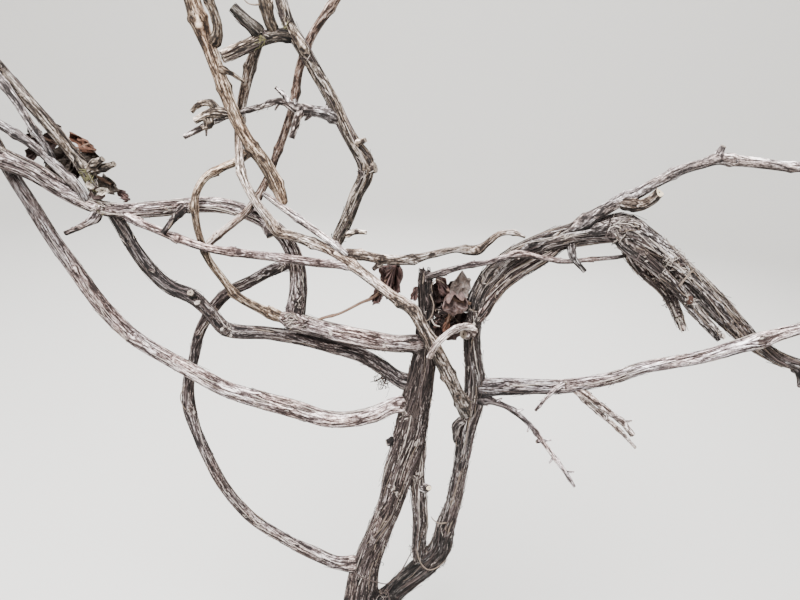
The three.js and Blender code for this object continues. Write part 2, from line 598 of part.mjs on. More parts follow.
// The small side twigs of a mass: one at most nodes of its stem, on alternate sides, leaning to the tip.
function sideTwigs(rows, seed) {
  const random = seeded(seed);
  return rows.slice(1, -1).flatMap(([x, z, depth, radius], i) => {
    const [fromX, fromZ] = rows[i];
    const [toX, toZ] = rows[i + 2];
    const run = Math.hypot(toX - fromX, toZ - fromZ);
    const side = i % 2 ? 1 : -1;
    const out = radius + TWIG_REACH * (0.6 + 0.8 * random());
    const tipX = x + (out * (0.6 * (toX - fromX) - side * (toZ - fromZ))) / run;
    const tipZ = z + (out * (0.6 * (toZ - fromZ) + side * (toX - fromX))) / run;
    if (random() > TWIG_SHARE) return [];
    const middle = [(x + tipX) / 2, (z + tipZ) / 2, depth - 1, 0.55 * radius];
    return [[[x, z, depth, 0.7 * radius], middle, [tipX, tipZ, depth - 2, 0.3 * radius]]];
  });
}

function limbSolids(name, index, grow) {
  const limb = STEMS[name];
  const options = { rough: limb.rough, phase: index * GOLDEN_ANGLE, flared: name === "trunk", grow };
  const pieces = addSpurs(taper(limb.rows, options, limb.cuts), limb.spurs, options);
  return name === "trunk" ? pieces.map((piece) => piece.subtract(ground())) : pieces;
}

// A curled leaf: a thin lens with a wavy rim of lobes, hung by its stalk end.
function leafSolid([x, z, depth, size, turn], index) {
  const angle = THREE.MathUtils.degToRad(turn);
  const down = new THREE.Vector3(-Math.sin(angle), 0, -Math.cos(angle));
  const across = new THREE.Vector3(Math.cos(angle), 0, -Math.sin(angle));
  const out = new THREE.Vector3(0, -1, 0);
  const { place } = seen([x, z, depth, 0]);
  const rim = Array.from({ length: LEAF_RIM_POINTS }, (_, k) => {
    const theta = (2 * Math.PI * k) / LEAF_RIM_POINTS;
    const lobe = 0.4 + 0.1 * Math.cos(5 * theta + index);
    return place.clone()
      .addScaledVector(across, 0.8 * size * lobe * Math.sin(theta))
      .addScaledVector(down, size * lobe * Math.cos(theta))
      .addScaledVector(out, size * (0.1 * Math.cos(2 * theta) + 0.05 * Math.sin(3 * theta + index)));
  });
  const centre = rim.length;
  const points = [...rim, place.clone().addScaledVector(out, size * LEAF_THICKNESS),
    place.clone().addScaledVector(out, -size * LEAF_THICKNESS)];
  const faces = rim.flatMap((_, k) => {
    const next = (k + 1) % rim.length;
    return [centre, k, next, centre + 1, next, k];
  });
  return solidOf(new THREE.BufferGeometry().setFromPoints(points).setIndex(faces));
}

function plainTwig(rows) {
  return taper(rows, { rough: 0, phase: 0, flared: false, grow: 0 })[0];
}

function leafMassSolid(mass) {
  const [stem, ...others] = mass.twigs.map(plainTwig);
  return [...others, ...mass.leaves.map(leafSolid)].reduce((whole, part) => whole.add(part), stem);
}

function addMesh(group, name, solid, slot) {
  const mesh = new THREE.Mesh(geometryOf(solid), MATERIALS[slot]);
  mesh.name = name;
  group.add(mesh);
}

function build() {
  const group = new THREE.Group();
  const names = Object.keys(STEMS);
  const grown = new Map(names.map((name, i) => [name, limbSolids(name, i, JOINT_GAP)]));
  const clearOf = (solid, from) => {
    const parents = (from ?? []).flatMap((name) => grown.get(name));
    return largest(parents.reduce((rest, parent) => rest.subtract(parent), solid));
  };
  const isClear = (solid, own) => names.filter((name) => name !== own).flatMap((name) => grown.get(name))
    .every((other) => other.intersect(solid).volume() < TOUCH_VOLUME);
  names.forEach((name, i) => {
    const pieces = limbSolids(name, i, 0);
    if (name in TWIG_MASSES) {
      const twigs = sideTwigs(STEMS[name].rows, i + 1).map(plainTwig).filter((twig) => isClear(twig, name));
      pieces[0] = twigs.reduce((whole, twig) => whole.add(twig), pieces[0]);
    }
    pieces.forEach((piece, k) => {
      const label = pieces.length > 1 ? `${name}_${k + 1}` : name;
      addMesh(group, label, clearOf(piece, STEMS[name].from), STEMS[name].grows);
    });
  });
  for (const [name, mass] of Object.entries(LEAF_MASSES)) {
    addMesh(group, name, clearOf(leafMassSolid(mass), mass.from), "dry_leaf");
  }
  return group;
}

export default build();
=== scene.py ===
# The looks of a bare grapevine in late winter: split and peeling bark on every limb, loose strips and
# fibres, knots, buds, cut ends, dead twigs and dry curled leaves.
# The tables are in millimetres and the scene in metres. +Z is up, +X runs to the right along the upright
# plane that the vine is trained in, and +Y points away from the viewer.
import json
import math
from dataclasses import dataclass

import bpy
import numpy as np
from mathutils import Matrix, Vector

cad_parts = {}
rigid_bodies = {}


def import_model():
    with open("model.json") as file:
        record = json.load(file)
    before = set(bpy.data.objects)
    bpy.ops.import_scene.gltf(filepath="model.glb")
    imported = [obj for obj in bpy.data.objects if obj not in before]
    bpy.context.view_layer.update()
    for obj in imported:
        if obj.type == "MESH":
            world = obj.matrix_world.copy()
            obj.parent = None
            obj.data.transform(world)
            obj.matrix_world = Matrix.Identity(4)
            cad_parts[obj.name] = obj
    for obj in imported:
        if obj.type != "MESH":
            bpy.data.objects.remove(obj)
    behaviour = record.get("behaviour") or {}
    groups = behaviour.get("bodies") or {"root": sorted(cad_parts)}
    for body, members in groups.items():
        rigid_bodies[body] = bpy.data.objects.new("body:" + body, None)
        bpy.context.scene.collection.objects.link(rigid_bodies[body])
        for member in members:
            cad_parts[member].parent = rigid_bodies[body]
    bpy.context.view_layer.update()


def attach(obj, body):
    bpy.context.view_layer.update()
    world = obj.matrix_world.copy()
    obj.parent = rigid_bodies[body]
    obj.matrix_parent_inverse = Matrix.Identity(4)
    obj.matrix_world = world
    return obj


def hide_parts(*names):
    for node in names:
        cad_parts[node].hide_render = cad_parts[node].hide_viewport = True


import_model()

MM = 0.001

# Where the vine is looked at from, and how the camera is turned. Places in the tables are read on the
# upright plane through the trunk's foot.
VIEW_DISTANCE = 720
EYE = np.array([55.0, -VIEW_DISTANCE, 1180.0])
LOOKS_DOWN = 21.0  # degrees
LEANS = 3.4  # degrees that the picture is turned clockwise
LENS = 27.0
SENSOR = 36.0

# The shape of the limbs, as in the solids.
ROOT_FLARE = 0.55
ROOT_FLARE_HEIGHT = 48
ROOT_LOBES = 5
FRAME_STEP = 2
TANGENT_STEP = 1e-4
GOLDEN_ANGLE = 2.39996
TWIG_REACH = 5
TWIG_SHARE = 0.7
DRAW_STEP = 16807
DRAW_LIMIT = 2147483647
CURVE_PARTS = 200

# How fine the bark's mesh is, in millimetres between its points.
GRID_ROUND = 0.85
GRID_ALONG = 2.6
LEAST_COLUMNS = 12

# The materials of a skin: its bark, the cut at its tip, and the cuts of its spurs and side twigs.
BARK, TIP_CUT, SPUR_CUT = 0, 1, 2

# Where each kind of random draw starts.
SEEDS = {
    "skin": 11, "spur": 211, "strips": 301, "fibres": 401, "tangle": 451, "ragged": 501, "side_twig": 511,
    "twiglet": 611, "leaf_twig": 701, "tufts": 801, "leaf": 900, "spur_strips": 3801,
}


@dataclass
class Stem:
    """A limb or a twig mass. Its spots are [x, z, ...] where they are seen on the plane."""

    bark: str
    tint: str
    rough: float  # how far its lumps stand out, as a share of the radius
    rows: list  # [x, z, depth, radius] from its root to its tip
    parent: str = None  # the limb that it grows out of
    nodes: int = 1  # how many solids it is split into
    spurs: list = ()  # short side shoots, with rows of their own
    painted_top_light: float = None  # its painted top light: how much brighter it is on top and darker underneath, where that isn't as its bark says
    shades: tuple = (1.0,)  # how bright it is beside its tint, at even distances from its root to its tip: partly its own tone, partly painted light and shade
    torn: float = 0  # how far back its tip is torn
    slant: float = 0  # how steeply its cut is turned to the viewer
    cut: str = "weathered"
    spur_cuts: str = "weathered"
    loose: str = None  # the group whose loose bark lies on it
    slot: str = None  # its material slot, where that isn't its bark's
    twiggy: bool = False  # whether side twigs grow from it
    knots: list = ()  # [x, z, size]
    frays: list = ()  # [x, z, size, count]: where the bark is torn up into short pale strips
    burls: list = ()  # the same, where it swirls round a burl in short tufts
    moss: list = ()  # the same, where moss grows on it
    scars: list = ()  # [x, z, radius]: pale rough scars where small shoots broke off
    snapped: list = ()  # the same, reddish, where a limb snapped


STEMS = {
    "trunk": Stem("shaggy", "umber", 0.1, loose="stems", shades=(0.72,),
        rows=[(-4, -30, 0, 38), (2, 60, 0, 34), (8, 150, 0, 32), (16, 250, 0, 33), (28, 325, 0, 37),
            (38, 364, 0, 29), (43, 392, 1, 13)]),
    "left_stem": Stem("shaggy", "umber", 0.1, parent="trunk", painted_top_light=0.6, loose="stems",
        shades=(0.13, 0.92, 0.27),
        rows=[(28, 315, 0, 20), (23, 372, -1, 22), (24, 430, -2, 21), (31, 482, -3, 18.5),
            (44, 528, -4, 17.5), (60, 585, -4, 18), (69, 645, -4, 19.5), (80, 705, -2, 21),
            (87, 765, 0, 20), (91, 812, 0, 17), (93, 848, 2, 12)],
        spurs=[[(62, 692, -2, 7), (48, 686, -6, 4.5)]],
        knots=[(56, 575, 9), (78, 600, 6), (92, 700, 6), (76, 745, 7)],
        frays=[(87, 618, 9, 16), (51, 512, 12, 16), (92, 700, 9, 12), (76, 745, 12, 20), (84, 838, 9, 14)],
        burls=[(84, 838, 8, 16), (76, 745, 9, 16), (62, 622, 6, 26), (70, 614, 5, 16)],
        scars=[(59, 626, 2.6), (68, 616, 2.2)]),
    "stem_head": Stem("shaggy", "umber", 0.1, parent="left_stem", torn=9, loose="stems", shades=(0.185,),
        rows=[(93, 836, 4, 9), (90, 865, 4, 9.5), (89, 902, 3, 9.5), (86, 930, 2, 9), (84, 949, 1, 6.5)],
        frays=[(86, 942, 12, 30), (90, 905, 10, 14)]),
    "right_stem": Stem("shaggy", "ash", 0.11, parent="trunk", nodes=2, loose="stems",
        # Its dark first values are partly painted shade, where the fork shades it.
        shades=(0.05, 0.15, 0.54, 0.84, 0.4),
        rows=[(38, 338, 0, 17), (51, 376, 0, 16.5), (72, 410, 1, 15.5), (96, 442, 2, 16), (122, 474, 3, 16),
            (140, 508, 3, 14), (143, 545, 3, 13), (151, 590, 2, 11), (156, 650, 2, 10), (159, 710, 2, 10.5),
            (163, 765, 1, 13), (162, 795, 0, 13), (155, 835, -1, 11), (152, 868, -1, 11),
            (154, 898, -2, 10)],
        spurs=[[(157, 735, 1, 6), (145, 722, -5, 5.5), (145, 700, -5, 4.2), (148, 691, -3, 3)]],
        knots=[(158, 762, 8), (146, 545, 6), (150, 872, 5)],
        frays=[(153, 865, 11, 22), (158, 771, 11, 18), (146, 545, 9, 10), (155, 890, 10, 18)],
        burls=[(158, 771, 8, 16), (150, 872, 8, 16)],
        scars=[(153, 881, 2.4)]),
    "middle_stem": Stem("shaggy", "ash", 0.1, parent="right_stem", spur_cuts="fresh", loose="stems",
        shades=(0.36, 1.18, 1.3),
        rows=[(112, 468, 6, 8), (106, 505, 4, 9), (105, 550, 4, 10), (100, 595, 3, 10.5), (95, 640, 2, 10),
            (96, 680, 3, 9), (90, 716, 4, 7)],
        spurs=[[(100, 611, -1, 6), (112, 613, -11, 4.2), (114, 613, -17, 3)]],
        knots=[(96, 640, 6)],
        frays=[(93, 634, 8, 14), (112, 480, 9, 14)],
        burls=[(95, 640, 6, 20)],
        scars=[(97, 645, 2.6)]),
    "low_arm": Stem("fibrous", "dusk", 0.07, parent="left_stem", nodes=3, painted_top_light=0.9, loose="arms",
        shades=(0.92, 0.95, 0.66, 0.7, 0.68),
        rows=[(24, 466, -2, 9), (4, 462, -4, 10), (-20, 463, -6, 9), (-50, 476, -6, 8.8), (-98, 503, -5, 8),
            (-148, 540, -3, 7.8), (-186, 592, 0, 7), (-206, 640, 2, 7.2), (-222, 690, 6, 7),
            (-229, 725, 10, 8.6), (-227, 765, 15, 7.4), (-217, 804, 19, 6.8), (-208, 838, 21, 6.8),
            (-193, 868, 22, 7), (-171, 896, 23, 6.8), (-140, 915, 20, 7), (-114, 931, 17, 7.2),
            (-88, 945, 11, 7)],
        knots=[(-229, 725, 5), (-208, 838, 4), (-114, 931, 4)],
        frays=[(14, 464, 9, 14), (-229, 725, 7, 8)],
        scars=[(-224, 721, 2.4)]),
    "arc_arm": Stem("fibrous", "pearl", 0.06, parent="left_stem", nodes=3, painted_top_light=0.55, loose="arms",
        shades=(1.12, 1.0, 0.82, 0.31, 0.15),
        rows=[(76, 752, -2, 9.5), (56, 748, -6, 10), (30, 733, -9, 11), (0, 723, -10, 11.3),
            (-35, 720, -10, 11.3), (-80, 732, -9, 11.5), (-130, 744, -8, 11), (-175, 758, -6, 10.5),
            (-215, 779, -5, 10.2), (-255, 802, -3, 9.6), (-295, 828, -1, 9.4), (-330, 868, 1, 9.2),
            (-362, 920, 6, 8.8), (-388, 966, 10, 8.4), (-406, 1006, 14, 8.2), (-421, 1037, 18, 7.6),
            (-437, 1077, 17, 6.8), (-452, 1120, 10, 6), (-470, 1165, 4, 5)],
        spurs=[[(-447, 1106, 12, 4), (-436, 1122, 8, 3.4), (-433, 1140, 6, 2.8)]],
        knots=[(66, 750, 6), (-130, 748, 4), (-295, 830, 4), (-362, 920, 4)],
        frays=[(68, 752, 9, 18)],
        burls=[(62, 750, 8, 16)]),
    "arm_a": Stem("fibrous", "mauve", 0.07, parent="left_stem", painted_top_light=0.85, loose="arms",
        shades=(0.25, 1.1, 0.88),
        rows=[(94, 842, 0, 9), (78, 843, -4, 10.8), (48, 842, -8, 11), (18, 845, -10, 11.8),
            (-20, 851, -10, 11.4), (-52, 858, -10, 11), (-84, 866, -9, 12.5), (-99, 870, -8, 7)],
        knots=[(-84, 872, 7), (-92, 862, 5), (24, 850, 5), (70, 846, 5)],
        frays=[(36, 840, 7, 10), (77, 850, 8, 14), (-84, 872, 9, 14)],
        burls=[(-84, 868, 11, 34), (-64, 868, 8, 18), (76, 846, 7, 14)],
        scars=[(-34, 851, 2.6), (37, 837, 2.3), (78, 853, 3.4)]),
    "arm_b": Stem("fibrous", "dusk", 0.09, parent="left_stem", nodes=2, loose="arms",
        # Its bright third value is a painted pool of light, where arm_a casts its shadow on it.
        shades=(0.38, 0.4, 0.86, 0.64, 0.43, 0.4, 0.36, 0.3, 0.26),
        rows=[(78, 782, 4, 10), (58, 790, 6, 10), (36, 806, 8, 10), (8, 822, 9, 9.5), (-30, 832, 9, 9),
            (-70, 841, 8, 9), (-120, 846, 6, 8.5), (-172, 848, 3, 9.5), (-190, 868, 2, 8.6),
            (-212, 890, 2, 9.4), (-240, 902, 2, 8.4), (-262, 922, 3, 7.8), (-282, 952, 4, 7.6),
            (-298, 984, 3, 7.2), (-308, 1000, 2, 6)],
        spurs=[[(-212, 892, -3, 5), (-216, 897, -10, 3.6)]],
        knots=[(-172, 850, 6), (-190, 872, 4), (-212, 892, 6), (-262, 922, 4)],
        frays=[(-276, 985, 9, 14), (-262, 922, 6, 8), (-172, 850, 8, 12)],
        burls=[(-172, 846, 8, 24), (-206, 884, 7, 18), (-190, 868, 6, 12)],
        scars=[(-177, 848, 2.0), (-164, 839, 2.2), (-208, 884, 3.2)]),
    "hook_cane": Stem("cane", "straw", 0.05, parent="arm_a", nodes=2, shades=(0.58, 0.62, 1.46),
        rows=[(-84, 866, -9, 7), (-106, 872, -7, 6.2), (-130, 882, -4, 5.6), (-155, 896, -2, 5.2),
            (-174, 920, 0, 4.8), (-190, 944, 0, 4.6), (-198, 970, -5, 4.6), (-202, 997, -14, 4.6),
            (-200, 1024, -14, 4.6), (-187, 1046, -8, 4.6), (-166, 1059, 1, 4.6), (-147, 1068, 11, 4.6),
            (-134, 1078, 6, 4.6), (-128, 1086, -5, 4)]),
    "left_cordon": Stem("fibrous", "heather", 0.1, parent="arm_a", nodes=3, loose="arms",
        shades=(0.5, 1.48, 0.84, 0.48),
        rows=[(-84, 866, -6, 10), (-78, 892, -2, 10.8), (-76, 924, 2, 10.8), (-81, 955, 4, 10),
            (-96, 982, 4, 9), (-120, 999, 3, 8), (-160, 1012, 2, 8.3), (-200, 1012, 2, 8.5),
            (-250, 1004, 2, 9), (-300, 999, 0, 9.3), (-330, 1005, -1, 9.3), (-362, 1020, -2, 9.6),
            (-395, 1041, -3, 10.5), (-430, 1055, -4, 11.3), (-475, 1078, -3, 10), (-520, 1098, -2, 8.5),
            (-565, 1118, 0, 7)],
        spurs=[[(-117, 995, -2, 5.6), (-114, 987, -6, 5), (-110, 977, -9, 4.4)],
            [(-214, 1008, -4, 5), (-226, 996, -16, 4.2), (-245, 973, -27, 3.6)],
            [(-319, 1001, -3, 5.6), (-329, 987, -9, 4.6), (-346, 976, -13, 3.6), (-367, 966, -17, 3)],
            [(-505, 1090, -4, 5), (-518, 1112, -8, 4.2), (-524, 1136, -10, 3.6)]],
        knots=[(-120, 1002, 5), (-214, 1010, 5), (-319, 1001, 6), (-430, 1058, 7), (-78, 900, 6)],
        frays=[(-233, 1004, 9, 14), (-209, 1008, 7, 10), (-315, 1004, 10, 18), (-430, 1058, 9, 12),
            (-82, 880, 9, 14)],
        burls=[(-317, 1003, 8, 20), (-84, 884, 9, 30), (-74, 892, 8, 20), (-208, 1004, 6, 10)],
        moss=[(-316, 1001, 6, 10)]),
    "mid_cane": Stem("cane", "mauve", 0.05, parent="left_cordon", shades=(0.9, 1.34, 0.74),
        rows=[(-292, 996, -2, 5), (-276, 987, -10, 4.6), (-248, 976, -16, 4.8), (-222, 967, -17, 5),
            (-190, 958, -17, 5.2), (-150, 954, -18, 5.4), (-100, 951, -18, 5.6), (-50, 947, -17, 5.6),
            (-20, 946, -16, 5.2), (-4, 943, -15, 4)],
        knots=[(-222, 968, 3), (-150, 955, 4), (-50, 948, 3)]),
    "cross_cane": Stem("cane", "wheat", 0.05, parent="right_stem", nodes=3, shades=(0.5, 0.82, 1.38, 0.7),
        rows=[(158, 737, -2, 7.5), (147, 760, -16, 9), (118, 815, -29, 9.3), (84, 872, -29, 7.6),
            (73, 890, -27, 8.2), (50, 905, -24, 6.7), (0, 941, -16, 6.7), (-30, 962, -14, 6.5),
            (-78, 979, -17, 6), (-101, 985, -20, 6.3), (-113, 1001, -22, 5.6), (-127, 1020, -24, 5.2),
            (-142, 1050, -18, 5), (-145, 1079, -1, 5.2), (-142, 1120, 13, 5.6), (-131, 1165, 12, 6),
            (-117, 1204, 3, 5.6)],
        knots=[(73, 892, 5), (-30, 962, 4), (-101, 987, 4), (140, 772, 4)]),
    "upper_spray": Stem("cane", "wheat", 0.06, parent="cross_cane", shades=(1.05, 0.68, 0.46, 0.46, 0.95),
        rows=[(-28, 962, -13, 4.6), (0, 961, -10, 5.8), (28, 957, -8, 6), (60, 958, -8, 6),
            (92, 967, -8, 4.6), (120, 975, -8, 4), (147, 976, -9, 6.6), (158, 985, -9, 4.4),
            (172, 998, -8, 3.8), (188, 1001, -8, 3.4), (204, 996, -8, 1.8)],
        spurs=[[(30, 954, -9, 4.4), (19, 943, -8, 2.6)]],
        knots=[(28, 957, 4), (147, 976, 4), (92, 967, 3)]),
    "upper_thin_cane": Stem("cane", "frost", 0.04, parent="cross_cane", shades=(1.8, 2.0, 1.0),
        rows=[(-14, 960, -18, 3), (-30, 972, -22, 3.8), (-50, 985, -22, 4.2), (-75, 1002, -20, 4.2),
            (-100, 1019, -18, 4), (-118, 1031, -17, 3)]),
    "top_left_cane": Stem("cane", "straw", 0.06, parent="upper_thin_cane", painted_top_light=1.3,
        shades=(0.66, 0.94, 0.32),
        rows=[(-93, 1018, -16, 4.8), (-98, 1034, -13, 7), (-107, 1053, -12, 8), (-118, 1071, -12, 8.3),
            (-131, 1087, -11, 7.5), (-148, 1118, -10, 7.8), (-160, 1151, -9, 7.5), (-173, 1188, -8, 8),
            (-182, 1212, -8, 8.8), (-190, 1239, -8, 8.4), (-205, 1295, -6, 7.5), (-222, 1352, -4, 6)],
        spurs=[[(-168, 1171, -8, 4), (-150, 1165, -17, 2.6), (-135, 1156, -19, 2)],
            [(-176, 1188, -8, 5.4), (-164, 1205, -8, 5.2), (-166, 1224, -6, 5), (-175, 1246, -4, 4.4),
                (-184, 1280, -2, 3.4)],
            [(-213, 1322, -5, 4.4), (-201, 1338, -8, 3.4), (-198, 1354, -10, 2.8)]],
        knots=[(-182, 1212, 5), (-118, 1072, 4)]),
    "top_limb": Stem("fibrous", "dove", 0.08, parent="cross_cane", nodes=2, painted_top_light=0.95, loose="arms",
        shades=(0.36, 0.68, 1.7),
        rows=[(-30, 969, -8, 6), (-23, 987, -2, 8), (-14, 1008, 0, 8), (-4, 1038, -2, 8),
            (5, 1058, -4, 8.6), (4, 1076, -5, 9.4), (-10, 1096, -6, 7.5), (-22, 1116, -6, 7),
            (-34, 1139, -6, 7.2), (-68, 1194, -6, 7.2), (-84, 1218, -5, 6.6), (-92, 1238, -4, 6.5),
            (-98, 1268, -3, 6.2), (-99, 1312, -2, 5.4), (-91, 1364, 0, 4.4)],
        spurs=[[(-19, 985, -3, 4.4), (-4, 990, -5, 3.2), (9, 990, -6, 2.4)],
            [(5, 1066, -5, 6.4), (17, 1070, -8, 5)],
            [(-8, 1095, -8, 4.6), (4, 1101, -13, 2.8)],
            [(-99, 1318, -2, 4.4), (-86, 1332, -6, 3.4), (-80, 1352, -9, 2.6)]],
        knots=[(5, 1066, 6), (-68, 1194, 5), (-14, 1008, 4)],
        frays=[(-92, 1226, 8, 12), (5, 1062, 7, 10), (-40, 1150, 6, 8)],
        burls=[(2, 1062, 7, 12), (-64, 1188, 5, 8)],
        moss=[(-90, 1216, 6, 12)]),
    "top_side_limb": Stem("fibrous", "dove", 0.09, parent="top_limb", torn=3, loose="arms",
        shades=(0.08, 0.44, 1.4),
        rows=[(-76, 1205, -6, 5.6), (-93, 1208, -7, 6.4), (-112, 1204, -7, 7), (-126, 1197, -10, 6.6),
            (-145, 1188, -16, 7), (-161, 1181, -23, 6.6)],
        burls=[(-110, 1204, 7, 14)],
        moss=[(-116, 1202, 7, 18)]),
    "top_stub": Stem("fibrous", "dove", 0.1, parent="top_side_limb", torn=3, loose="arms", shades=(0.22,),
        rows=[(-112, 1203, -8, 5.6), (-122, 1213, -10, 6.5), (-134, 1222, -12, 6.2), (-147, 1234, -12, 5.4)]),
    "top_middle_cane": Stem("cane", "straw", 0.06, parent="top_side_limb", shades=(0.25,),
        rows=[(-98, 1207, -7, 5), (-106, 1222, -8, 6.2), (-111, 1241, -7, 6.3), (-122, 1286, -5, 5.4),
            (-141, 1336, -2, 4.2)]),
    "red_cane": Stem("cane", "rose", 0.03, parent="mid_cane", nodes=2, shades=(0.54, 0.54, 1.5),
        rows=[(-191, 960, -14, 3.6), (-180, 971, -14, 4.2), (-160, 988, -14, 4.4), (-140, 1006, -13, 4.5),
            (-124, 1028, -7, 4.6), (-111, 1052, 5, 4.6), (-100, 1080, 7, 4.6), (-88, 1112, 7, 4.6),
            (-79, 1142, 8, 4.6), (-73, 1175, 9, 4.6), (-60, 1208, 9, 4.6), (-36, 1243, 5, 4.8),
            (-9, 1281, 1, 4.4), (11, 1326, 0, 3.6)]),
    "upper_left_cane": Stem("fibrous", "dove", 0.07, parent="left_cordon", loose="arms",
        shades=(0.42, 0.62, 0.64),
        rows=[(-318, 1011, 0, 6), (-325, 1030, 2, 7), (-331, 1047, 3, 8), (-350, 1075, 3, 6.8),
            (-370, 1101, 2, 6.8), (-392, 1128, 1, 6.8), (-415, 1157, 0, 6.8), (-440, 1188, -1, 6),
            (-474, 1224, -2, 4.8)],
        spurs=[[(-330, 1044, 1, 5), (-318, 1055, -3, 4.2), (-308, 1061, -4, 3.2)],
            [(-326, 1045, 1, 5), (-309, 1050, 1, 4), (-295, 1056, 0, 3.2)],
            [(-452, 1201, -1, 4.4), (-448, 1220, -4, 3.4), (-452, 1240, -6, 2.8)]],
        knots=[(-331, 1050, 5), (-415, 1158, 4)],
        frays=[(-322, 1030, 9, 16)],
        moss=[(-328, 1038, 8, 34), (-322, 1026, 7, 18)]),
    "upper_left_low_cane": Stem("cane", "frost", 0.05, parent="left_cordon", shades=(0.5, 0.52, 0.34),
        rows=[(-334, 1006, -5, 4.8), (-342, 1024, -9, 5.2), (-361, 1044, -8, 5.4), (-382, 1065, -5, 5.4),
            (-402, 1080, -4, 5.2), (-426, 1094, -4, 5.4), (-460, 1112, -4, 5), (-506, 1141, -4, 4)]),
    "upper_left_thin_cane": Stem("cane", "frost", 0.05, parent="upper_left_low_cane",
        shades=(0.18, 1.5, 2.0),
        rows=[(-366, 1050, -5, 3.4), (-374, 1070, -5, 4), (-388, 1094, -7, 4.4), (-402, 1122, -10, 4.8),
            (-418, 1146, -13, 4.8), (-437, 1176, -14, 4.2), (-453, 1210, -14, 3.4)]),
    "right_cordon": Stem("shaggy", "ash", 0.11, parent="right_stem", nodes=2, loose="right",
        shades=(0.26, 1.06, 0.45),
        rows=[(153, 886, -1, 9), (155, 915, -1, 11), (166, 942, -1, 11.3), (184, 963, -2, 11.5),
            (214, 983, -3, 12), (250, 998, -3, 13), (292, 1009, -2, 14.5), (322, 1015, -1, 16.5),
            (352, 1001, 0, 15.2), (384, 980, 2, 13.4), (419, 953, 4, 13.4), (454, 924, 7, 13.5),
            (490, 896, 11, 12), (522, 872, 15, 10), (560, 852, 13, 8.6), (602, 842, 8, 6.8)],
        spurs=[[(262, 992, -7, 5.4), (266, 975, -23, 3.6), (284, 957, -26, 2.8)],
            [(574, 848, 11, 5), (590, 832, 6, 3.8), (596, 814, 4, 3)]],
        knots=[(314, 1010, 10), (330, 1022, 7), (214, 985, 6), (384, 984, 8), (402, 966, 7), (454, 926, 5),
            (170, 948, 6)],
        frays=[(389, 991, 15, 34), (397, 962, 13, 24), (378, 1004, 11, 14), (408, 982, 10, 14),
            (432, 955, 12, 14), (340, 996, 9, 14), (322, 1018, 14, 26), (490, 898, 12, 14),
            (250, 1000, 13, 18)],
        burls=[(306, 1006, 9, 34), (316, 999, 9, 30), (312, 1018, 9, 24), (380, 984, 11, 30),
            (396, 973, 10, 30), (404, 962, 8, 16), (344, 984, 8, 12), (160, 938, 7, 12)],
        scars=[(362, 973, 2.4), (390, 975, 2.8)]),
    "right_fork": Stem("shaggy", "umber", 0.1, parent="right_stem", torn=4, loose="right",
        shades=(1.4, 0.8, 0.54),
        rows=[(156, 878, -5, 8), (167, 905, -7, 7), (180, 929, -7, 7.5), (201, 951, -6, 8),
            (227, 970, -5, 8), (250, 990, -3, 6.5)]),
    "right_second_limb": Stem("shaggy", "ash", 0.1, parent="right_cordon", torn=5, loose="right",
        slot="arm_bark", shades=(0.53, 0.59, 1.38, 1.49),
        rows=[(314, 1007, -8, 6.5), (332, 991, -12, 7), (353, 979, -13, 7), (374, 965, -12, 7),
            (394, 948, -10, 6.8), (414, 931, -8, 6.4), (440, 906, -6, 6.2), (460, 889, -4, 5.8),
            (475, 876, -3, 4.4)],
        knots=[(417, 930, 6), (474, 879, 5), (352, 986, 5)],
        frays=[(421, 930, 9, 18), (380, 962, 8, 12)],
        burls=[(417, 931, 6, 14), (352, 984, 7, 12)],
        scars=[(329, 998, 2.0), (341, 993, 2.6), (352, 989, 1.8), (474, 881, 2.6)],
        snapped=[(418, 930, 4.4)]),
    "right_third_limb": Stem("shaggy", "umber", 0.1, parent="right_cordon", torn=7, loose="right",
        slot="arm_bark", shades=(0.5, 1.32, 0.9),
        rows=[(323, 1005, 9, 6), (335, 984, 14, 6.5), (352, 966, 16, 6.5), (372, 951, 16, 6.5),
            (392, 934, 14, 6.4), (408, 913, 11, 5.6), (418, 896, 9, 4.6), (424, 884, 9, 3.2)],
        knots=[(414, 905, 5), (423, 889, 4), (372, 955, 5)],
        frays=[(414, 902, 8, 12), (360, 960, 8, 10)],
        burls=[(408, 914, 6, 14), (372, 955, 7, 12)],
        moss=[(414, 906, 6, 14)]),
    "upper_right_cane": Stem("cane", "frost", 0.06, parent="right_cordon", painted_top_light=0.85,
        shades=(0.6, 1.05, 2.6),
        rows=[(250, 1001, -4, 6), (268, 1015, -6, 7), (290, 1032, -6, 7.2), (312, 1048, -6, 7.4),
            (330, 1058, -6, 6.8), (352, 1073, -5, 6.2), (376, 1088, -4, 6), (400, 1097, -4, 6),
            (415, 1103, -4, 7), (440, 1102, -4, 6), (466, 1101, -3, 5.8), (510, 1099, -2, 5.2),
            (552, 1104, 0, 4.6), (594, 1119, 2, 3.8)],
        spurs=[[(414, 1104, -5, 4.4), (418, 1118, -8, 3.2)],
            [(541, 1103, 0, 4), (554, 1120, -5, 3.2), (559, 1138, -8, 2.6)]],
        knots=[(290, 1033, 4), (415, 1105, 4)]),
    "cut_stub": Stem("stub", "wheat", 0.08, parent="upper_right_cane", slant=0.9, cut="fresh",
        shades=(0.47,),
        rows=[(308, 1045, -8, 6), (322, 1044, -13, 6), (338, 1044, -15, 6), (350, 1052, -16, 5.8),
            (357, 1062, -18, 5.4)]),
    "thin_cane": Stem("young", "mauve", 0.04, parent="stem_head", shades=(0.1, 0.82, 0.22),
        rows=[(84, 936, -1, 4), (98, 941, -9, 4), (130, 953, -15, 3.7), (165, 962, -19.5, 3.6),
            (198, 974, -21, 4.4), (228, 971, -21, 3.2), (258, 968, -17, 3), (290, 973, -10, 2.8),
            (318, 977, -3, 2.6), (331, 980, -1, 2.2)]),
    "right_arm": Stem("fibrous", "haze", 0.06, parent="right_stem", nodes=2, painted_top_light=1.05, loose="arms",
        shades=(0.2, 0.54, 1.26, 1.1, 1.25),
        rows=[(158, 782, -2, 10), (176, 784, -4, 10.5), (205, 787, -5, 11), (245, 790, -6, 9.6),
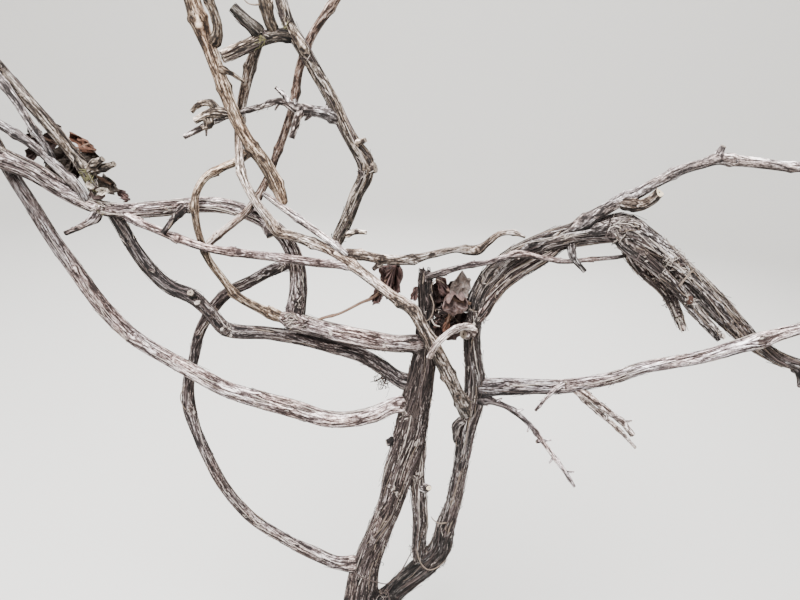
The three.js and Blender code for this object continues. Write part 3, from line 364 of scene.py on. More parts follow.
            (282, 793, -6, 9.6), (300, 797, -6, 9.4), (340, 808, -7, 8), (382, 827, -8, 7.8),
            (420, 838, -9, 7.8), (460, 850, -10, 8), (498, 866, -11, 9), (524, 876, -11, 10.5),
            (550, 888, -10, 8), (590, 903, -8, 6.5), (628, 913, -6, 4.8)],
        spurs=[[(284, 798, -9, 3), (276, 792, -17.5, 2.4), (266, 780, -16.5, 2.4), (257, 765, -11, 2.1),
                (250, 753, -8, 1.7)],
            [(582, 900, -9, 5), (592, 918, -14, 3.8), (594, 936, -17, 3.2)]],
        knots=[(282, 794, 5), (524, 878, 6), (205, 790, 4)],
        frays=[(170, 784, 9, 16), (282, 796, 6, 8), (524, 880, 7, 10)]),
    "hooked_spur": Stem("young", "bone", 0.04, parent="right_stem", cut="fresh", slot="dead_spur",
        shades=(1.4,),
        rows=[(153, 858, -4, 6), (146, 871, -16, 5.2), (132, 869, -31, 4.4), (117, 857, -43, 4.3),
            (106, 842, -48, 4.3), (98, 824, -47, 3.6)],
        spurs=[[(150, 862, -9, 6), (140, 861, -17, 5.4)]],
        knots=[(150, 866, 6)]),
    "dead_twigs": Stem("stub", "ash", 0.07, parent="top_limb", loose="twigs", slot="dead_twig", twiggy=True,
        shades=(0.7, 1.4, 1.8),
        rows=[(-23, 1118, -6, 5.4), (-40, 1127, -8, 6), (-58, 1130, -8, 5.6), (-76, 1132, -8, 5.2),
            (-96, 1138, -8, 3.2), (-118, 1131, -4, 2.9), (-140, 1124, 1, 2.9), (-160, 1117, 4, 3),
            (-182, 1107, 2, 3.2), (-209, 1092, 0, 3)],
        spurs=[[(-70, 1131, -10, 4), (-76, 1120, -16, 3.8), (-83, 1098, -19, 3.4)],
            [(-84, 1134, -8, 3.2), (-92, 1146, -10, 2.2), (-101, 1153, -11, 1.6)]],
        knots=[(-74, 1131, 5), (-96, 1138, 4), (-182, 1107, 4)]),
    "upper_spurs": Stem("stub", "dove", 0.1, parent="top_left_cane", loose="twigs", slot="dead_twig",
        twiggy=True, shades=(1.14,),
        rows=[(-154, 1121, -12, 5), (-168, 1122, -15, 5), (-182, 1118, -15, 4.8), (-195, 1111, -14, 3.6)],
        spurs=[[(-167, 1122, -15, 4.2), (-175, 1132, -14, 3.6), (-190, 1129, -14, 3.2),
                (-198, 1121, -14, 2.4)],
            [(-180, 1119, -15, 3.4), (-177, 1108, -15, 3), (-188, 1103, -14, 2.4)]]),
    "thin_shoot": Stem("young", "haze", 0.03, parent="right_stem", slot="young_twig", twiggy=True,
        shades=(0.06, 0.42, 1.8, 0.95),
        rows=[(166, 764, -3, 6.4), (180, 766, -9, 6), (194, 762, -11, 4.4), (208, 757, -12, 3.8),
            (222, 749, -12, 3.8), (246, 729, -12, 3.6), (266, 705, -12, 3.4), (286, 680, -12, 3.2),
            (306, 655, -12, 3), (323, 631, -12, 2.2)],
        spurs=[[(264, 707, -12, 3), (258, 702, -15, 2.2)]]),
    "right_twigs": Stem("stub", "bone", 0.05, parent="right_arm", loose="twigs", slot="dead_twig",
        twiggy=True, shades=(1.0, 0.9, 1.25),
        rows=[(295, 791, -8, 6), (312, 783, -13, 4.6), (330, 772, -15, 4.2), (350, 757, -15, 4),
            (372, 742, -15, 3.8), (389, 724, -15, 4.2)],
        spurs=[[(304, 787, -9, 4.2), (314, 774, -10, 3.4), (335, 757, -8, 3.2), (358, 739, -8, 3),
            (378, 722, -8, 2.6), (397, 703, -8, 1.8)]],
        knots=[(372, 742, 4), (330, 772, 3)]),
}

# The knots on each spur: which of its rows each is at, and its size beside the radius there.
SPUR_KNOTS = ((-1, 1.0), (-2, 0.9))

# Dry leaves that hang in the vine, each [x, z, depth, size, turn, kind], where turn is how many degrees its
# tip is turned round from straight down, clockwise as seen.
LEAF_MASSES = {
    "dry_leaves_low": {
        "twigs": [[(-58, 860, -8, 2.4), (-48, 870, -9, 1.9), (-22, 880, -9, 1.8), (4, 896, -5, 1.8),
            (24, 908, -1, 1.8), (42, 944, 3, 1.8)]],
        "leaves": [(44, 925, 2, 46, 4, "maroon"), (25, 904, -4, 26, 30, "maroon"),
            (35, 932, 5, 30, 340, "maroon"), (74, 912, 2, 18, 20, "maroon")]},
    "dry_leaves_head": {
        "twigs": [[(155, 903, -2, 3.2), (141, 906, -7, 2.2), (127, 908, -7, 2), (114, 922, -6, 1.8)],
            [(127, 908, -7, 2), (121, 890, -7, 1.8), (118, 876, -7, 1.6)]],
        "leaves": [(126, 901, -15, 33, 350, "russet"), (131, 927, -6, 38, 12, "taupe"),
            (109, 923, -8, 26, 330, "maroon"), (118, 871, -9, 25, 10, "rust"),
            # The dark leaves behind are partly leaf bits, partly painted shade between the stem head and the
            # right stem.
            (108, 898, 6, 34, 10, "dark"), (120, 884, 8, 36, 340, "dark"), (121, 915, 7, 38, 0, "dark"),
            (104, 874, 4, 18, 60, "maroon"), (103, 918, 8, 30, 20, "dark"), (108, 866, 9, 30, 350, "dark"),
            (126, 866, 9, 32, 30, "dark"), (138, 880, 9, 30, 320, "dark"), (140, 906, 8, 26, 10, "dark")]},
    "dry_leaves_left": {
        "twigs": [[(-331, 1047, 4, 3), (-339, 1062, 14, 2), (-358, 1074, 17, 1.8), (-384, 1085, 15, 1.6)],
            [(-330, 1043, 4, 2.6), (-315, 1038, 12, 1.8), (-302, 1031, 12, 1.6)],
            [(-339, 1062, 14, 1.8), (-333, 1072, 16, 1.6), (-322, 1078, 14, 1.5)]],
        "leaves": [(-333, 1077, 13, 37, 298, "rust"), (-321, 1061, 16, 30, 330, "dun"),
            (-306, 1031, 12, 28, 320, "dun"), (-355, 1060, 17, 36, 40, "dun"),
            (-389, 1078, 15, 24, 90, "dark"), (-370, 1077, 14, 24, 60, "dark"),
            (-291, 1017, 12, 19, 300, "maroon"), (-343, 1052, 19, 32, 10, "dark"),
            (-392, 1062, 16, 18, 20, "dark"), (-366, 1046, 20, 30, 330, "dark"),
            (-384, 1088, 18, 20, 130, "dun"), (-360, 1086, 19, 24, 20, "dark"),
            (-378, 1066, 18, 22, 300, "dun"), (-357, 1050, 12, 22, 60, "dun"),
            (-343, 1064, 12, 18, 20, "dun"), (-313, 1022, -12, 15, 258, "pale"),
            (-328, 1028, -12, 11, 300, "pale"), (-320, 1020, -8, 20, 280, "dark"),
            (-350, 1051, 14, 26, 20, "dun"), (-369, 1053, 15, 22, 300, "dun")]},
}


@dataclass
class Bark:
    """A kind of bark, in millimetres."""

    slot: str
    plate: tuple  # width, length and height of the plates that it breaks into
    crack: tuple  # width, length and depth of the cracks that run along it
    fibre: tuple  # width, length and height of its fibres
    twist: float  # how many turns its fibres make in a metre
    painted_top_light: float  # how much painted top light it has: brighter where it faces up, darker where it faces down
    grain: tuple  # width and length of its visible grain, its weight, and that of the relief beside it
    strips: tuple = None  # the area that has one loose strip, and a strip's length, width and lift
    node_gap: float = None  # how far apart a cane's nodes are


BARKS = {
    "shaggy": Bark("old_bark", (3.2, 74, 1.3), (2.1, 60, 0.8), (1.7, 30, 0.3),
        0.5, 0.42, (1.8, 60, 2.1, 0.7), strips=(100, 62, 1.55, 1.4)),
    "fibrous": Bark("arm_bark", (3.2, 74, 0.55), (2.1, 60, 0.5), (1.7, 28, 0.2),
        0.7, 0.68, (1.6, 62, 2.0, 0.65), strips=(260, 56, 1.15, 0.7)),
    "cane": Bark("cane_bark", (3.8, 90, 0.2), (2.6, 74, 0.3), (1.7, 30, 0.15),
        0.3, 1.0, (1.5, 64, 1.8, 0.45), node_gap=64),
    "stub": Bark("dead_spur", (3.0, 16, 0.6), (2.0, 18, 0.45), (1.7, 9, 0.2),
        0.4, 0.64, (1.2, 22, 1.8, 0.6), strips=(150, 9, 1.5, 1.0), node_gap=34),
    "young": Bark("cane_bark", (3.4, 60, 0.08), (2.0, 50, 0.14), (1.7, 24, 0.08),
        0.2, 0.9, (1.2, 46, 1.6, 0.35), node_gap=46),
}

# The colours of a bark: deep in its cracks, on its sides, on its crests and on its bleached edges.
# The crack colour is partly the bark's own darker colour there and partly painted shade.
TINTS = {
    "umber": ((22, 16, 15), (62, 51, 49), (98, 85, 83), (198, 186, 183)),
    "ash": ((23, 18, 17), (68, 62, 61), (108, 101, 100), (208, 202, 201)),
    "dusk": ((24, 19, 19), (66, 57, 56), (104, 93, 92), (194, 184, 182)),
    "dove": ((28, 22, 19), (86, 77, 69), (132, 121, 110), (220, 211, 204)),
    "mauve": ((34, 26, 25), (98, 85, 84), (150, 135, 134), (234, 223, 222)),
    "heather": ((26, 20, 19), (82, 71, 70), (126, 113, 112), (226, 216, 215)),
    "pearl": ((42, 33, 32), (118, 104, 103), (172, 158, 157), (243, 235, 235)),
    "rose": ((38, 28, 24), (104, 84, 75), (154, 132, 120), (232, 220, 213)),
    "wheat": ((34, 27, 24), (94, 83, 75), (146, 132, 123), (232, 224, 219)),
    "straw": ((38, 29, 23), (102, 85, 71), (154, 135, 118), (234, 217, 200)),
    "frost": ((33, 29, 29), (92, 84, 83), (143, 134, 133), (231, 227, 228)),
    "haze": ((42, 35, 35), (118, 107, 108), (172, 162, 164), (243, 239, 242)),
    "bone": ((46, 37, 35), (118, 107, 103), (172, 161, 157), (240, 235, 233)),
}
BARK_STOPS = (0.0, 0.34, 0.62, 1.0)
# The width, length and weight of its finest fibres, its specks and its blotches.
FINE = (1.3, 11, 2.3)
SPECKS = (1.4, 3.2, 1.5)
MOTTLE = (3.8, 16, 0.75)
TONE_WEIGHT = 0.3
BARK_LEVEL = 0.46
WARM_PATCH = (252, 238, 228)
WARM_PATCH_SIZE = (20, 50)
LEAST_SHADE = 0.35  # how dark the painted shade on a limb's underside may go, beside its middle
CUTS = {"fresh": ((226, 214, 190), (176, 156, 128)), "weathered": ((150, 138, 126), (104, 92, 82))}
PITH = (92, 66, 50)

# How the bark is laid out.
STREAK_VALUES = 256
PLATE_ROWS = 128
PLATE_SHAPE = 0.75  # how much a plate's length counts beside its width
BARK_SWAY = 2.4  # how far its plates stray sideways, beside their width
GRAIN_STEP = 97  # sets the grain of each limb apart from the others'
TEAR_WIDTH = 2.5
KNOT_HEIGHT = 0.4  # beside its size
KNOT_STRETCH = 1.25  # how much longer a knot is along the limb than round it
LEVEL_FOOT = 40  # the height over which the trunk's rings turn from level to square with its lean
BARE_TIP = 8  # how near its tip a cane's last node may come
BUD_SIZE = 0.42  # beside the cane's radius
BUD_SIDES = 8
# A cut face's rings inside its rim: each one's share of the radius, and how far it stands proud of the rim.
END_RINGS = ((0.93, 0.05), (0.6, 0.03), (0.3, -0.02))
PITH_SINK = 0.1
# A scar's rings, as shares of its radius: how wide and how high.
SCAR_RINGS = ((1.15, -0.6), (1.05, 0.2), (0.75, 0.42), (0.3, 0.28))
SCAR_SIDES = 11

# The strips and fibres that come loose.
STRIP_STEPS = 8
STRIP_GRAIN_STEP = 37.0
STRIP_WILD = 0.07  # how far aside a strip strays, beside its length
STRIPS_TO_A_FIBRE = 20
FIBRE_STEPS = 12
FIBRE_RADIUS = 0.32
THREAD_SIDES = 4
RAGGED_GAP = 42  # how far apart small torn spots come along a limb
RAGGED_SIZE = (5, 11)
RAGGED_COUNT = 5
STRIP_SHADOW = (150, 145, 142)
STRIP_COLOURS = {
    "dark": (44, 36, 34), "brown": (80, 69, 66), "mauve": (108, 95, 94), "ashen": (112, 104, 102),
    "tan": (138, 123, 111), "pale": (208, 197, 188), "rust": (74, 52, 44), "moss": (122, 118, 84),
}
STRIP_SLOTS = {name: slot for slot, name in enumerate(STRIP_COLOURS)}
PALENESS = (0.0, 0.6, 1.0, 1.1, 1.5, 2.2, 0.0, 0.0)  # how much rarer each colour is the darker the limb
# Short strips round a spot: how far aside they stray, beside their length, and the share of each colour.
TUFTS = {
    "fray": (0.25, (0.08, 0.12, 0.12, 0.12, 0.14, 0.42)),
    "burl": (1.1, (0.2, 0.2, 0.16, 0.1, 0.08, 0.26)),
    "moss": (1.1, (0.1, 0.1, 0.0, 0.1, 0.0, 0.1, 0.0, 0.6)),
}
TANGLE_SHARES = (0.44, 0.3, 0.1, 0.04, 0.08, 0.04)

# Single loose fibres and tendrils: the colour of each, and its rows.
LOOSE_FIBRES = [
    ("brown", [(4, 450, -24, 0.8), (20, 436, -32, 1.1), (44, 428, -38, 1.1), (62, 426, -40, 1.1),
        (76, 441, -38, 1.1), (87, 467, -34, 1.0), (95, 490, -26, 0.9), (103, 504, -18, 0.5)]),
    ("tan", [(102, 500, -12, 0.7), (112, 470, -20, 1.0), (124, 459, -22, 1.0), (136, 464, -20, 0.9),
        (152, 483, -12, 0.6)]),
    ("tan", [(144, 552, -12, 1.2), (134, 550, -17, 1.2), (125, 555, -16, 0.9), (120, 562, -12, 0.5)]),
    ("tan", [(93, 914, -9, 0.8), (99, 898, -12, 1.0), (95, 880, -12, 0.9), (87, 875, -10, 0.6)]),
    ("pale", [(97, 880, -9, 1.1), (102, 872, -11, 1.2), (109, 870, -11, 0.7)]),
    ("tan", [(-135, 1243, 2, 0.6), (-127, 1237, -8, 1.0), (-114, 1238, -12, 1.1), (-104, 1246, -6, 0.9)]),
    ("brown", [(62, 420, -22, 0.8), (66, 396, -26, 1.0), (78, 372, -26, 0.9), (84, 352, -22, 0.6)]),
    ("tan", [(-232, 760, 4, 0.6), (-240, 742, 0, 0.8), (-236, 724, 0, 0.8), (-226, 716, 4, 0.5)]),
    ("tan", [(110, 930, -8, 0.7), (100, 934, -14, 0.8), (94, 926, -14, 0.8), (96, 916, -10, 0.5)]),
    ("tan", [(420, 970, -12, 0.5), (413, 959, -17, 1.0), (407, 948, -17, 1.6), (403, 940, -11, 1.3)]),
]


@dataclass
class LooseBark:
    """The loose bark of a group of limbs."""

    slot: str
    shares: tuple  # the share of each colour
    tangles: list = ()  # fibres caught in the forks: [x, z, depth, size, count]
    single: list = ()  # single loose fibres


LOOSE_BARK = {
    "stems": LooseBark("old_bark", (0.27, 0.3, 0.2, 0.04, 0.08, 0.11),
        tangles=[(40, 786, 0, 14, 30), (30, 470, -4, 13, 26), (134, 478, 2, 13, 60), (114, 500, 6, 13, 50),
            (72, 742, -6, 10, 18), (60, 400, -10, 16, 24), (100, 500, 4, 11, 20), (92, 700, 0, 10, 16),
            (112, 888, 6, 15, 50)], single=LOOSE_FIBRES),
    "right": LooseBark("old_bark", (0.2, 0.22, 0.08, 0.18, 0.17, 0.15),
        tangles=[(150, 890, -4, 12, 34), (176, 950, -6, 11, 24), (322, 1000, -4, 11, 20),
            (162, 780, -6, 9, 20), (398, 925, 4, 12, 30)]),
    "arms": LooseBark("arm_bark", (0.16, 0.2, 0.24, 0.08, 0.1, 0.22),
        tangles=[(-82, 880, -8, 10, 20), (-84, 940, 0, 8, 14), (-300, 1000, -4, 10, 20),
            (-28, 980, -8, 8, 12)]),
    "twigs": LooseBark("dead_twig", (0.16, 0.2, 0.06, 0.16, 0.12, 0.3)),
}


@dataclass
class LeafKind:
    """How a kind of leaf has dried, beside a flat one."""

    colour: tuple
    vein: tuple
    spread: float  # how much of a turn its blade still spans
    lobed: float  # how deep its lobes are
    cup: float  # how steeply it is cupped
    curl: float  # how steeply its rim curls over
    pleat: float  # how deep its pleats are
    wrinkle: float  # how deep its wrinkles are
    roll: float  # how wide it has rolled
    narrow: float  # its width as a share of its length


LEAF_KINDS = {
    "maroon": LeafKind((94, 73, 70), (118, 97, 94), 0.5, 0.5, 0.3, 1.0, 0.1, 0.5, 0.24, 0.58),
    "russet": LeafKind((108, 90, 87), (136, 121, 117), 1.0, 0.2, 0.5, 2.3, 0.04, 0.46, 2.5, 0.98),
    "taupe": LeafKind((128, 117, 112), (152, 141, 136), 0.9, 0.25, 0.3, 1.2, 0.04, 0.42, 0.8, 0.66),
    "rust": LeafKind((104, 72, 58), (128, 96, 80), 0.7, 0.4, 0.4, 1.2, 0.09, 0.55, 0.3, 0.36),
    "dun": LeafKind((84, 75, 69), (122, 112, 104), 0.9, 0.35, 0.4, 1.5, 0.06, 0.45, 0.6, 0.7),
    "pale": LeafKind((196, 188, 177), (210, 202, 192), 0.9, 0.4, 0.3, 1.0, 0.05, 0.3, 0.5, 0.6),
    # The dark kind is partly real dark leaves and partly painted shade, set in the shaded gaps behind the
    # clusters.
    "dark": LeafKind((60, 46, 43), (84, 68, 63), 0.9, 0.3, 0.3, 1.2, 0.05, 0.3, 0.7, 0.85),
}

# The lobes of a leaf: how far round from its tip each is, in degrees, and how far it stands out.
LEAF_LOBES = ((0, 0.12), (56, 0.1), (112, 0.07))
LOBE_SPREAD = 0.32  # radians
STALK_NOTCH = 0.2  # radians
VEIN_WIDTH = 0.035
LEAF_RINGS = 18
LEAF_SECTORS = 64
LEAF_THICKNESS = 0.35
LEAF_RISE = 0.7  # how far it stands out of its plane, beside its length
LEAF_WRINKLES = 7
SCORCHED = (255, 244, 237)
STALK = (122, 98, 84)

# The studio, in metres and watts.
FLOOR_RADIUS = 4.5
FLOOR_SIDES = 96
WALL_BEND = 2.5
WALL_HEIGHT = 7.0
PAPER = (226, 224, 220)
AIR = (236, 240, 246)
AIR_STRENGTH = 0.36
# Each lamp's name, place, aim, size and power.
LAMPS = [
    ("key_light", (-0.9, -1.7, 3.7), (0, 0, 0.8), 2.0, 500),
    ("fill_light", (2.4, -2.4, 1.8), (0, 0, 0.8), 2.0, 40),
    ("back_light", (0.8, 2.6, 2.6), (0, 0, 0.8), 2.0, 60),
    ("wall_light", (0, 2.0, 4.2), (0, 6.5, 0.6), 3.0, 260),
]


def unit(vectors):
    return vectors / np.maximum(np.linalg.norm(vectors, axis=-1, keepdims=True), 1e-9)


def eased(t):
    return t * t * (3 - 2 * t)


def eased_between(low, high, values):
    return eased(np.clip((values - low) / (high - low), 0, 1))


def bell(far):
    """1 at no distance, falling off smoothly to nothing."""
    return np.exp(-(far**2))


def turns_round(count):
    """Angles at even distances round a circle."""
    return 2 * math.pi * np.arange(count) / count


def circle(side, other, count):
    """Points round a unit circle that starts at one unit vector and turns to another."""
    turns = turns_round(count)
    return side * np.cos(turns)[:, None] + other * np.sin(turns)[:, None]


def seen(rows):
    """The places and radii that rows stand for. Nearer the eye than the plane, a limb is smaller than it
    looks."""
    rows = np.array(rows, float)
    scale = 1 + rows[:, 2] / VIEW_DISTANCE
    flat = np.stack([rows[:, 0], np.zeros(len(rows)), rows[:, 1]], 1)
    return EYE + (flat - EYE) * scale[:, None], rows[:, 3] * scale


def seen_place(x, z, depth):
    return seen([[x, z, depth, 0]])[0][0]


def curve_points(places, t):
    """Points at shares t of a centripetal Catmull-Rom curve through the places."""
    last = len(places) - 1
    padded = np.concatenate([[2 * places[0] - places[1]], places, [2 * places[-1] - places[-2]]])
    i = np.minimum((t * last).astype(int), last - 1)
    w = (t * last - i)[:, None]
    a, b, c, d = (padded[i + k] for k in range(4))
    spans = (np.sum((end - start) ** 2, 1, keepdims=True) ** 0.25 for start, end in ((a, b), (b, c), (c, d)))
    before, span, after = spans
    leaving = ((b - a) / before - (c - a) / (before + span) + (c - b) / span) * span
    arriving = ((c - b) / span - (d - b) / (span + after) + (d - c) / after) * span
    square = 3 * (c - b) - 2 * leaving - arriving
    cube = 2 * (b - c) + leaving + arriving
    return b + leaving * w + square * w**2 + cube * w**3


def carried_normals(tangents):
    """Normals that turn with the curve and never twist round it."""
    least = 2 - int(np.argmin(np.abs(tangents[0])[::-1]))
    side = unit(np.cross(tangents[0], np.eye(3)[least]))
    normals = [np.cross(tangents[0], side)]
    for before, after in zip(tangents[:-1], tangents[1:]):
        axis = np.cross(before, after)
        sine = np.linalg.norm(axis)
        n = normals[-1]
        if sine > 1e-12:
            axis = axis / sine
            angle = math.acos(max(-1.0, min(1.0, float(before @ after))))
            n = (n * math.cos(angle) + np.cross(axis, n) * math.sin(angle)
                + axis * (axis @ n) * (1 - math.cos(angle)))
        normals.append(n)
    return np.array(normals)


class Limb:
    """A limb's curve in short even steps, with its frame and its radius at each."""

    def __init__(self, rows, rough=0.0, phase=0.0, flared=False, shades=(1.0,), painted_top_light=0.0):
        places, radii = seen(rows)
        shares = np.linspace(0, 1, CURVE_PARTS + 1)
        chords = np.linalg.norm(np.diff(curve_points(places, shares), axis=0), axis=1)
        lengths = np.concatenate([[0], np.cumsum(chords)])
        self.rough, self.phase, self.flared = rough, phase, flared
        self.shades, self.painted_top_light = shades, painted_top_light
        self.knots, self.spurs = [], []
        self.length = lengths[-1]
        self.steps = np.linspace(0, self.length, math.ceil(self.length / FRAME_STEP) + 1)
        t = np.interp(self.steps, lengths, shares)
        self.centre = curve_points(places, t)
        ahead, behind = np.minimum(t + TANGENT_STEP, 1), np.maximum(t - TANGENT_STEP, 0)
        self.tangent = unit(curve_points(places, ahead) - curve_points(places, behind))
        self.normal = carried_normals(self.tangent)
        self.binormal = np.cross(self.tangent, self.normal)
        row = t * (len(rows) - 1)
        i = np.minimum(row.astype(int), len(rows) - 2)
        self.reach = radii[i] + (radii[i + 1] - radii[i]) * eased(row - i)
        self.girth = 2 * math.pi * float(self.reach.mean())
        self.foot = float(np.interp(0, self.centre[:, 2], self.steps)) if flared else 0.0

    def between(self, values, along):
        """The values at places between the steps."""
        if values.ndim == 1:
            return np.interp(along, self.steps, values)
        return np.stack([np.interp(along, self.steps, values[:, k]) for k in range(3)], -1)

    def radial(self, along, theta):
        """The way straight out of the limb."""
        normal, binormal = self.between(self.normal, along), self.between(self.binormal, along)
        return normal * np.cos(theta)[..., None] + binormal * np.sin(theta)[..., None]

    def radius(self, along, theta):
        """The radius with its slow lumps and the trunk's root flare."""
        slow = np.sin(2 * theta + along / 41 + self.phase)
        quick = np.sin(3 * theta - along / 27 + 2 * self.phase)
        swell = self.rough * (0.6 * slow + 0.4 * quick)
        if self.flared:
            height = np.maximum(self.between(self.centre, along)[..., 2], 0)
            lobes = 0.7 + 0.2 * np.cos(ROOT_LOBES * theta) + 0.1 * np.cos(2 * theta + 1)
            swell = swell + ROOT_FLARE * lobes * np.exp(-height / ROOT_FLARE_HEIGHT)
        return self.between(self.reach, along) * (1 + swell)

    def shade(self, along, theta):
        """How bright the bark is beside its tint, with painted light: brighter on top, darker underneath."""
        own = np.interp(along, np.linspace(0, self.length, len(self.shades)), self.shades)
        # Painted light and shade: brighter where the bark faces up, darker where it faces down.
        return own * np.maximum(1 + self.painted_top_light * self.radial(along, theta)[..., 2], LEAST_SHADE)

    def near_knots(self, along, theta):
        """For each knot its size, how far round from it each place is, and how far away in knot sizes."""
        reach = self.between(self.reach, along)
        for s, facing, size in self.knots:
            off = np.mod((theta - facing) / (2 * math.pi) + 0.5, 1) - 0.5
            yield size, off, np.hypot((along - s) / KNOT_STRETCH, off * 2 * math.pi * reach) / size

    def at(self, along, theta, out=0.0):
        """Places on the limb's skin, lifted off it by out."""
        r = self.radius(along, theta) + out
        for size, _, far in self.near_knots(along, theta):
            r = r + KNOT_HEIGHT * size * bell(far)
        points = self.between(self.centre, along) + self.radial(along, theta) * r[..., None]
        if self.flared:
            level = self.between(self.centre, along)[..., 2]
            points[..., 2] = level + (points[..., 2] - level) * eased_between(0, LEVEL_FOOT, level)
        return points

    def seat(self, x, z):
        """How far along and how far round the limb is what the eye sees at a place on the plane."""
        sight = unit(np.array([x, 0.0, z]) - EYE)
        off = EYE - self.centre
        off = off - (off @ sight)[:, None] * sight
        k = int(np.argmin(np.linalg.norm(off, axis=1)))
        side = np.linalg.norm(off[k])
        toward = off[k] - sight * math.sqrt(max(self.reach[k] ** 2 - side**2, 0.0))
        return self.steps[k], math.atan2(toward @ self.binormal[k], toward @ self.normal[k])

    def seated(self, spots):
        """Spots seen on the plane, with where on the limb they are in place of x and z."""
        return [(*self.seat(x, z), *rest) for x, z, *rest in spots]


def streaks(along, turn, columns, seed):
    """Noise drawn out along a limb: columns side by side round it, each with values of its own."""
    rng = np.random.default_rng(seed)
    columns = max(3, int(columns))
    values = rng.random((columns, STREAK_VALUES))
    starts = rng.random(columns) * STREAK_VALUES
    paces = rng.uniform(0.7, 1.4, columns)
    y = np.mod(turn, 1) * columns

    def line(j):
        x = along * paces[j] + starts[j]
        i = np.floor(x).astype(int)
        f = eased(x - i)
        return (1 - f) * values[j, i % STREAK_VALUES] + f * values[j, (i + 1) % STREAK_VALUES]

    j = np.floor(y).astype(int)
    f = eased(y - j)
    return (1 - f) * line(j % columns) + f * line((j + 1) % columns)


def plates(along, turn, columns, seed):
    """Long plates of bark: how far each point is from its plate's edge, the plate's level, and the place
    along it."""
    rng = np.random.default_rng(seed)
    columns = max(3, int(columns))
    jitter = rng.uniform(0.15, 0.85, (PLATE_ROWS, columns, 2))
    levels = rng.random((PLATE_ROWS, columns))
    starts = rng.random(columns) * PLATE_ROWS / 2
    y = np.mod(turn, 1) * columns
    nearest = np.full(along.shape, 9.0)
    second = nearest.copy()
    level = np.zeros(along.shape)
    place = np.zeros(along.shape)
    for side in (-1, 0, 1):
        row = np.floor(y).astype(int) + side
        j = row % columns
        x = along + starts[j]
        for step in (-1, 0, 1):
            i = np.floor(x).astype(int) + step
            dx = x - i - jitter[i % PLATE_ROWS, j, 0]
            dy = y - row - jitter[i % PLATE_ROWS, j, 1]
            far = np.hypot(PLATE_SHAPE * dx, dy)
            closer = far < nearest
            second = np.where(closer, nearest, np.minimum(second, far))
            level = np.where(closer, levels[i % PLATE_ROWS, j], level)
            place = np.where(closer, dx, place)
            nearest = np.where(closer, far, nearest)
    return second - nearest, level, place


def bark_relief(bark, along, turn, girth, seed):
    """How far the bark stands out at each point, in millimetres, how open it lies, from 0 in a crack to 1,
    and the tone of the plate there, from 0 to 1."""
    plate_width, plate_length, plate_height = bark.plate
    crack_width, crack_length, crack_depth = bark.crack
    fibre_width, fibre_length, fibre_height = bark.fibre
    sway = streaks(along / 70, turn, 4, seed + 1) + 0.35 * streaks(along / 24, turn, 8, seed + 2) - 0.68
    turned = turn + sway * BARK_SWAY * plate_width / girth + bark.twist * along / 1000
    edge, level, place = plates(along / plate_length, turned, round(girth / plate_width), seed + 3)
    edge = eased_between(0, 0.2, edge)
    crack = np.abs(2 * streaks(along / crack_length, turned, girth / crack_width, seed + 4) - 1)
    crack = eased_between(0, 0.36, crack)
    fibre = streaks(along / fibre_length, turned, girth / fibre_width, seed + 5) - 0.5
    height = plate_height * (0.75 * (level - 0.5) + 0.5 * place - 0.7 * (1 - edge))
    height = height - crack_depth * (1 - crack) + 2 * fibre_height * fibre
    height = height - height.mean()
    relief = np.minimum(edge, crack) + 0.12 * np.clip(height / plate_height, -1, 1)
    return height, np.clip(relief, 0, 1), level


def collar_of(limb, parent):
    """How far along the limb it comes out of its parent."""
    gaps = np.linalg.norm(limb.centre[:, None] - parent.centre[None], axis=2) - parent.reach[None]
    outside = np.nonzero(gaps.min(1) > 0)[0]
    return limb.steps[outside[0]] if len(outside) else 0.0


def put_in_scene(name, data):
    made = bpy.data.objects.new(name, data)
    bpy.context.scene.collection.objects.link(made)
    return made


class Piece:
    """Points and faces gathered for one object, in millimetres, with the values that its materials read."""

    def __init__(self):
        self.points, self.blocks = [], []
        self.values = {"grain": [], "relief": [], "tone": [], "shade": []}
        self.count = 0

    def add(self, points, blocks, grain=None, relief=0.5, tone=0.5, shade=1.0):
        """blocks is a list of (faces with 3 or 4 corners each, material index, whether they are smooth)."""
        points = points.reshape(-1, 3)
        n = len(points)
        self.points.append(points)
        self.values["grain"].append(points if grain is None else grain.reshape(-1, 3))
        for key, value in (("relief", relief), ("tone", tone), ("shade", shade)):
            self.values[key].append(np.broadcast_to(np.ravel(value), (n,)))
        for faces, slot, smooth in blocks:
            self.blocks.append((faces + self.count, np.broadcast_to(slot, (len(faces),)), smooth))
        self.count += n

    def make_object(self, name, materials, slot, nodes):
        """Makes the object, which rides on the vine's one body and stands for the named solids."""
        mesh = bpy.data.meshes.new(name)
        corners = np.concatenate([faces.ravel() for faces, _, _ in self.blocks])
        sizes = np.concatenate([np.full(len(faces), faces.shape[1]) for faces, _, _ in self.blocks])
        slots = np.concatenate([slots for _, slots, _ in self.blocks])
        smooth = np.concatenate([np.full(len(faces), smooth) for faces, _, smooth in self.blocks])
        mesh.vertices.add(self.count)
        mesh.vertices.foreach_set("co", (np.concatenate(self.points) * MM).ravel())
        mesh.loops.add(len(corners))
        mesh.loops.foreach_set("vertex_index", corners.astype(np.int32))
        mesh.polygons.add(len(sizes))
        starts = np.concatenate([[0], np.cumsum(sizes)[:-1]])
        mesh.polygons.foreach_set("loop_start", starts.astype(np.int32))
        mesh.polygons.foreach_set("material_index", slots.astype(np.int32))
        mesh.polygons.foreach_set("use_smooth", smooth)
        for key, values in self.values.items():
            kind, field = ("FLOAT_VECTOR", "vector") if key == "grain" else ("FLOAT", "value")
            attribute = mesh.attributes.new(key, kind, "POINT")
            attribute.data.foreach_set(field, np.concatenate(values).astype(np.float32).ravel())
        mesh.update(calc_edges=True)
        for material in materials:
            mesh.materials.append(material)
        made = put_in_scene(name, mesh)
        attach(made, "root")
        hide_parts(*nodes)


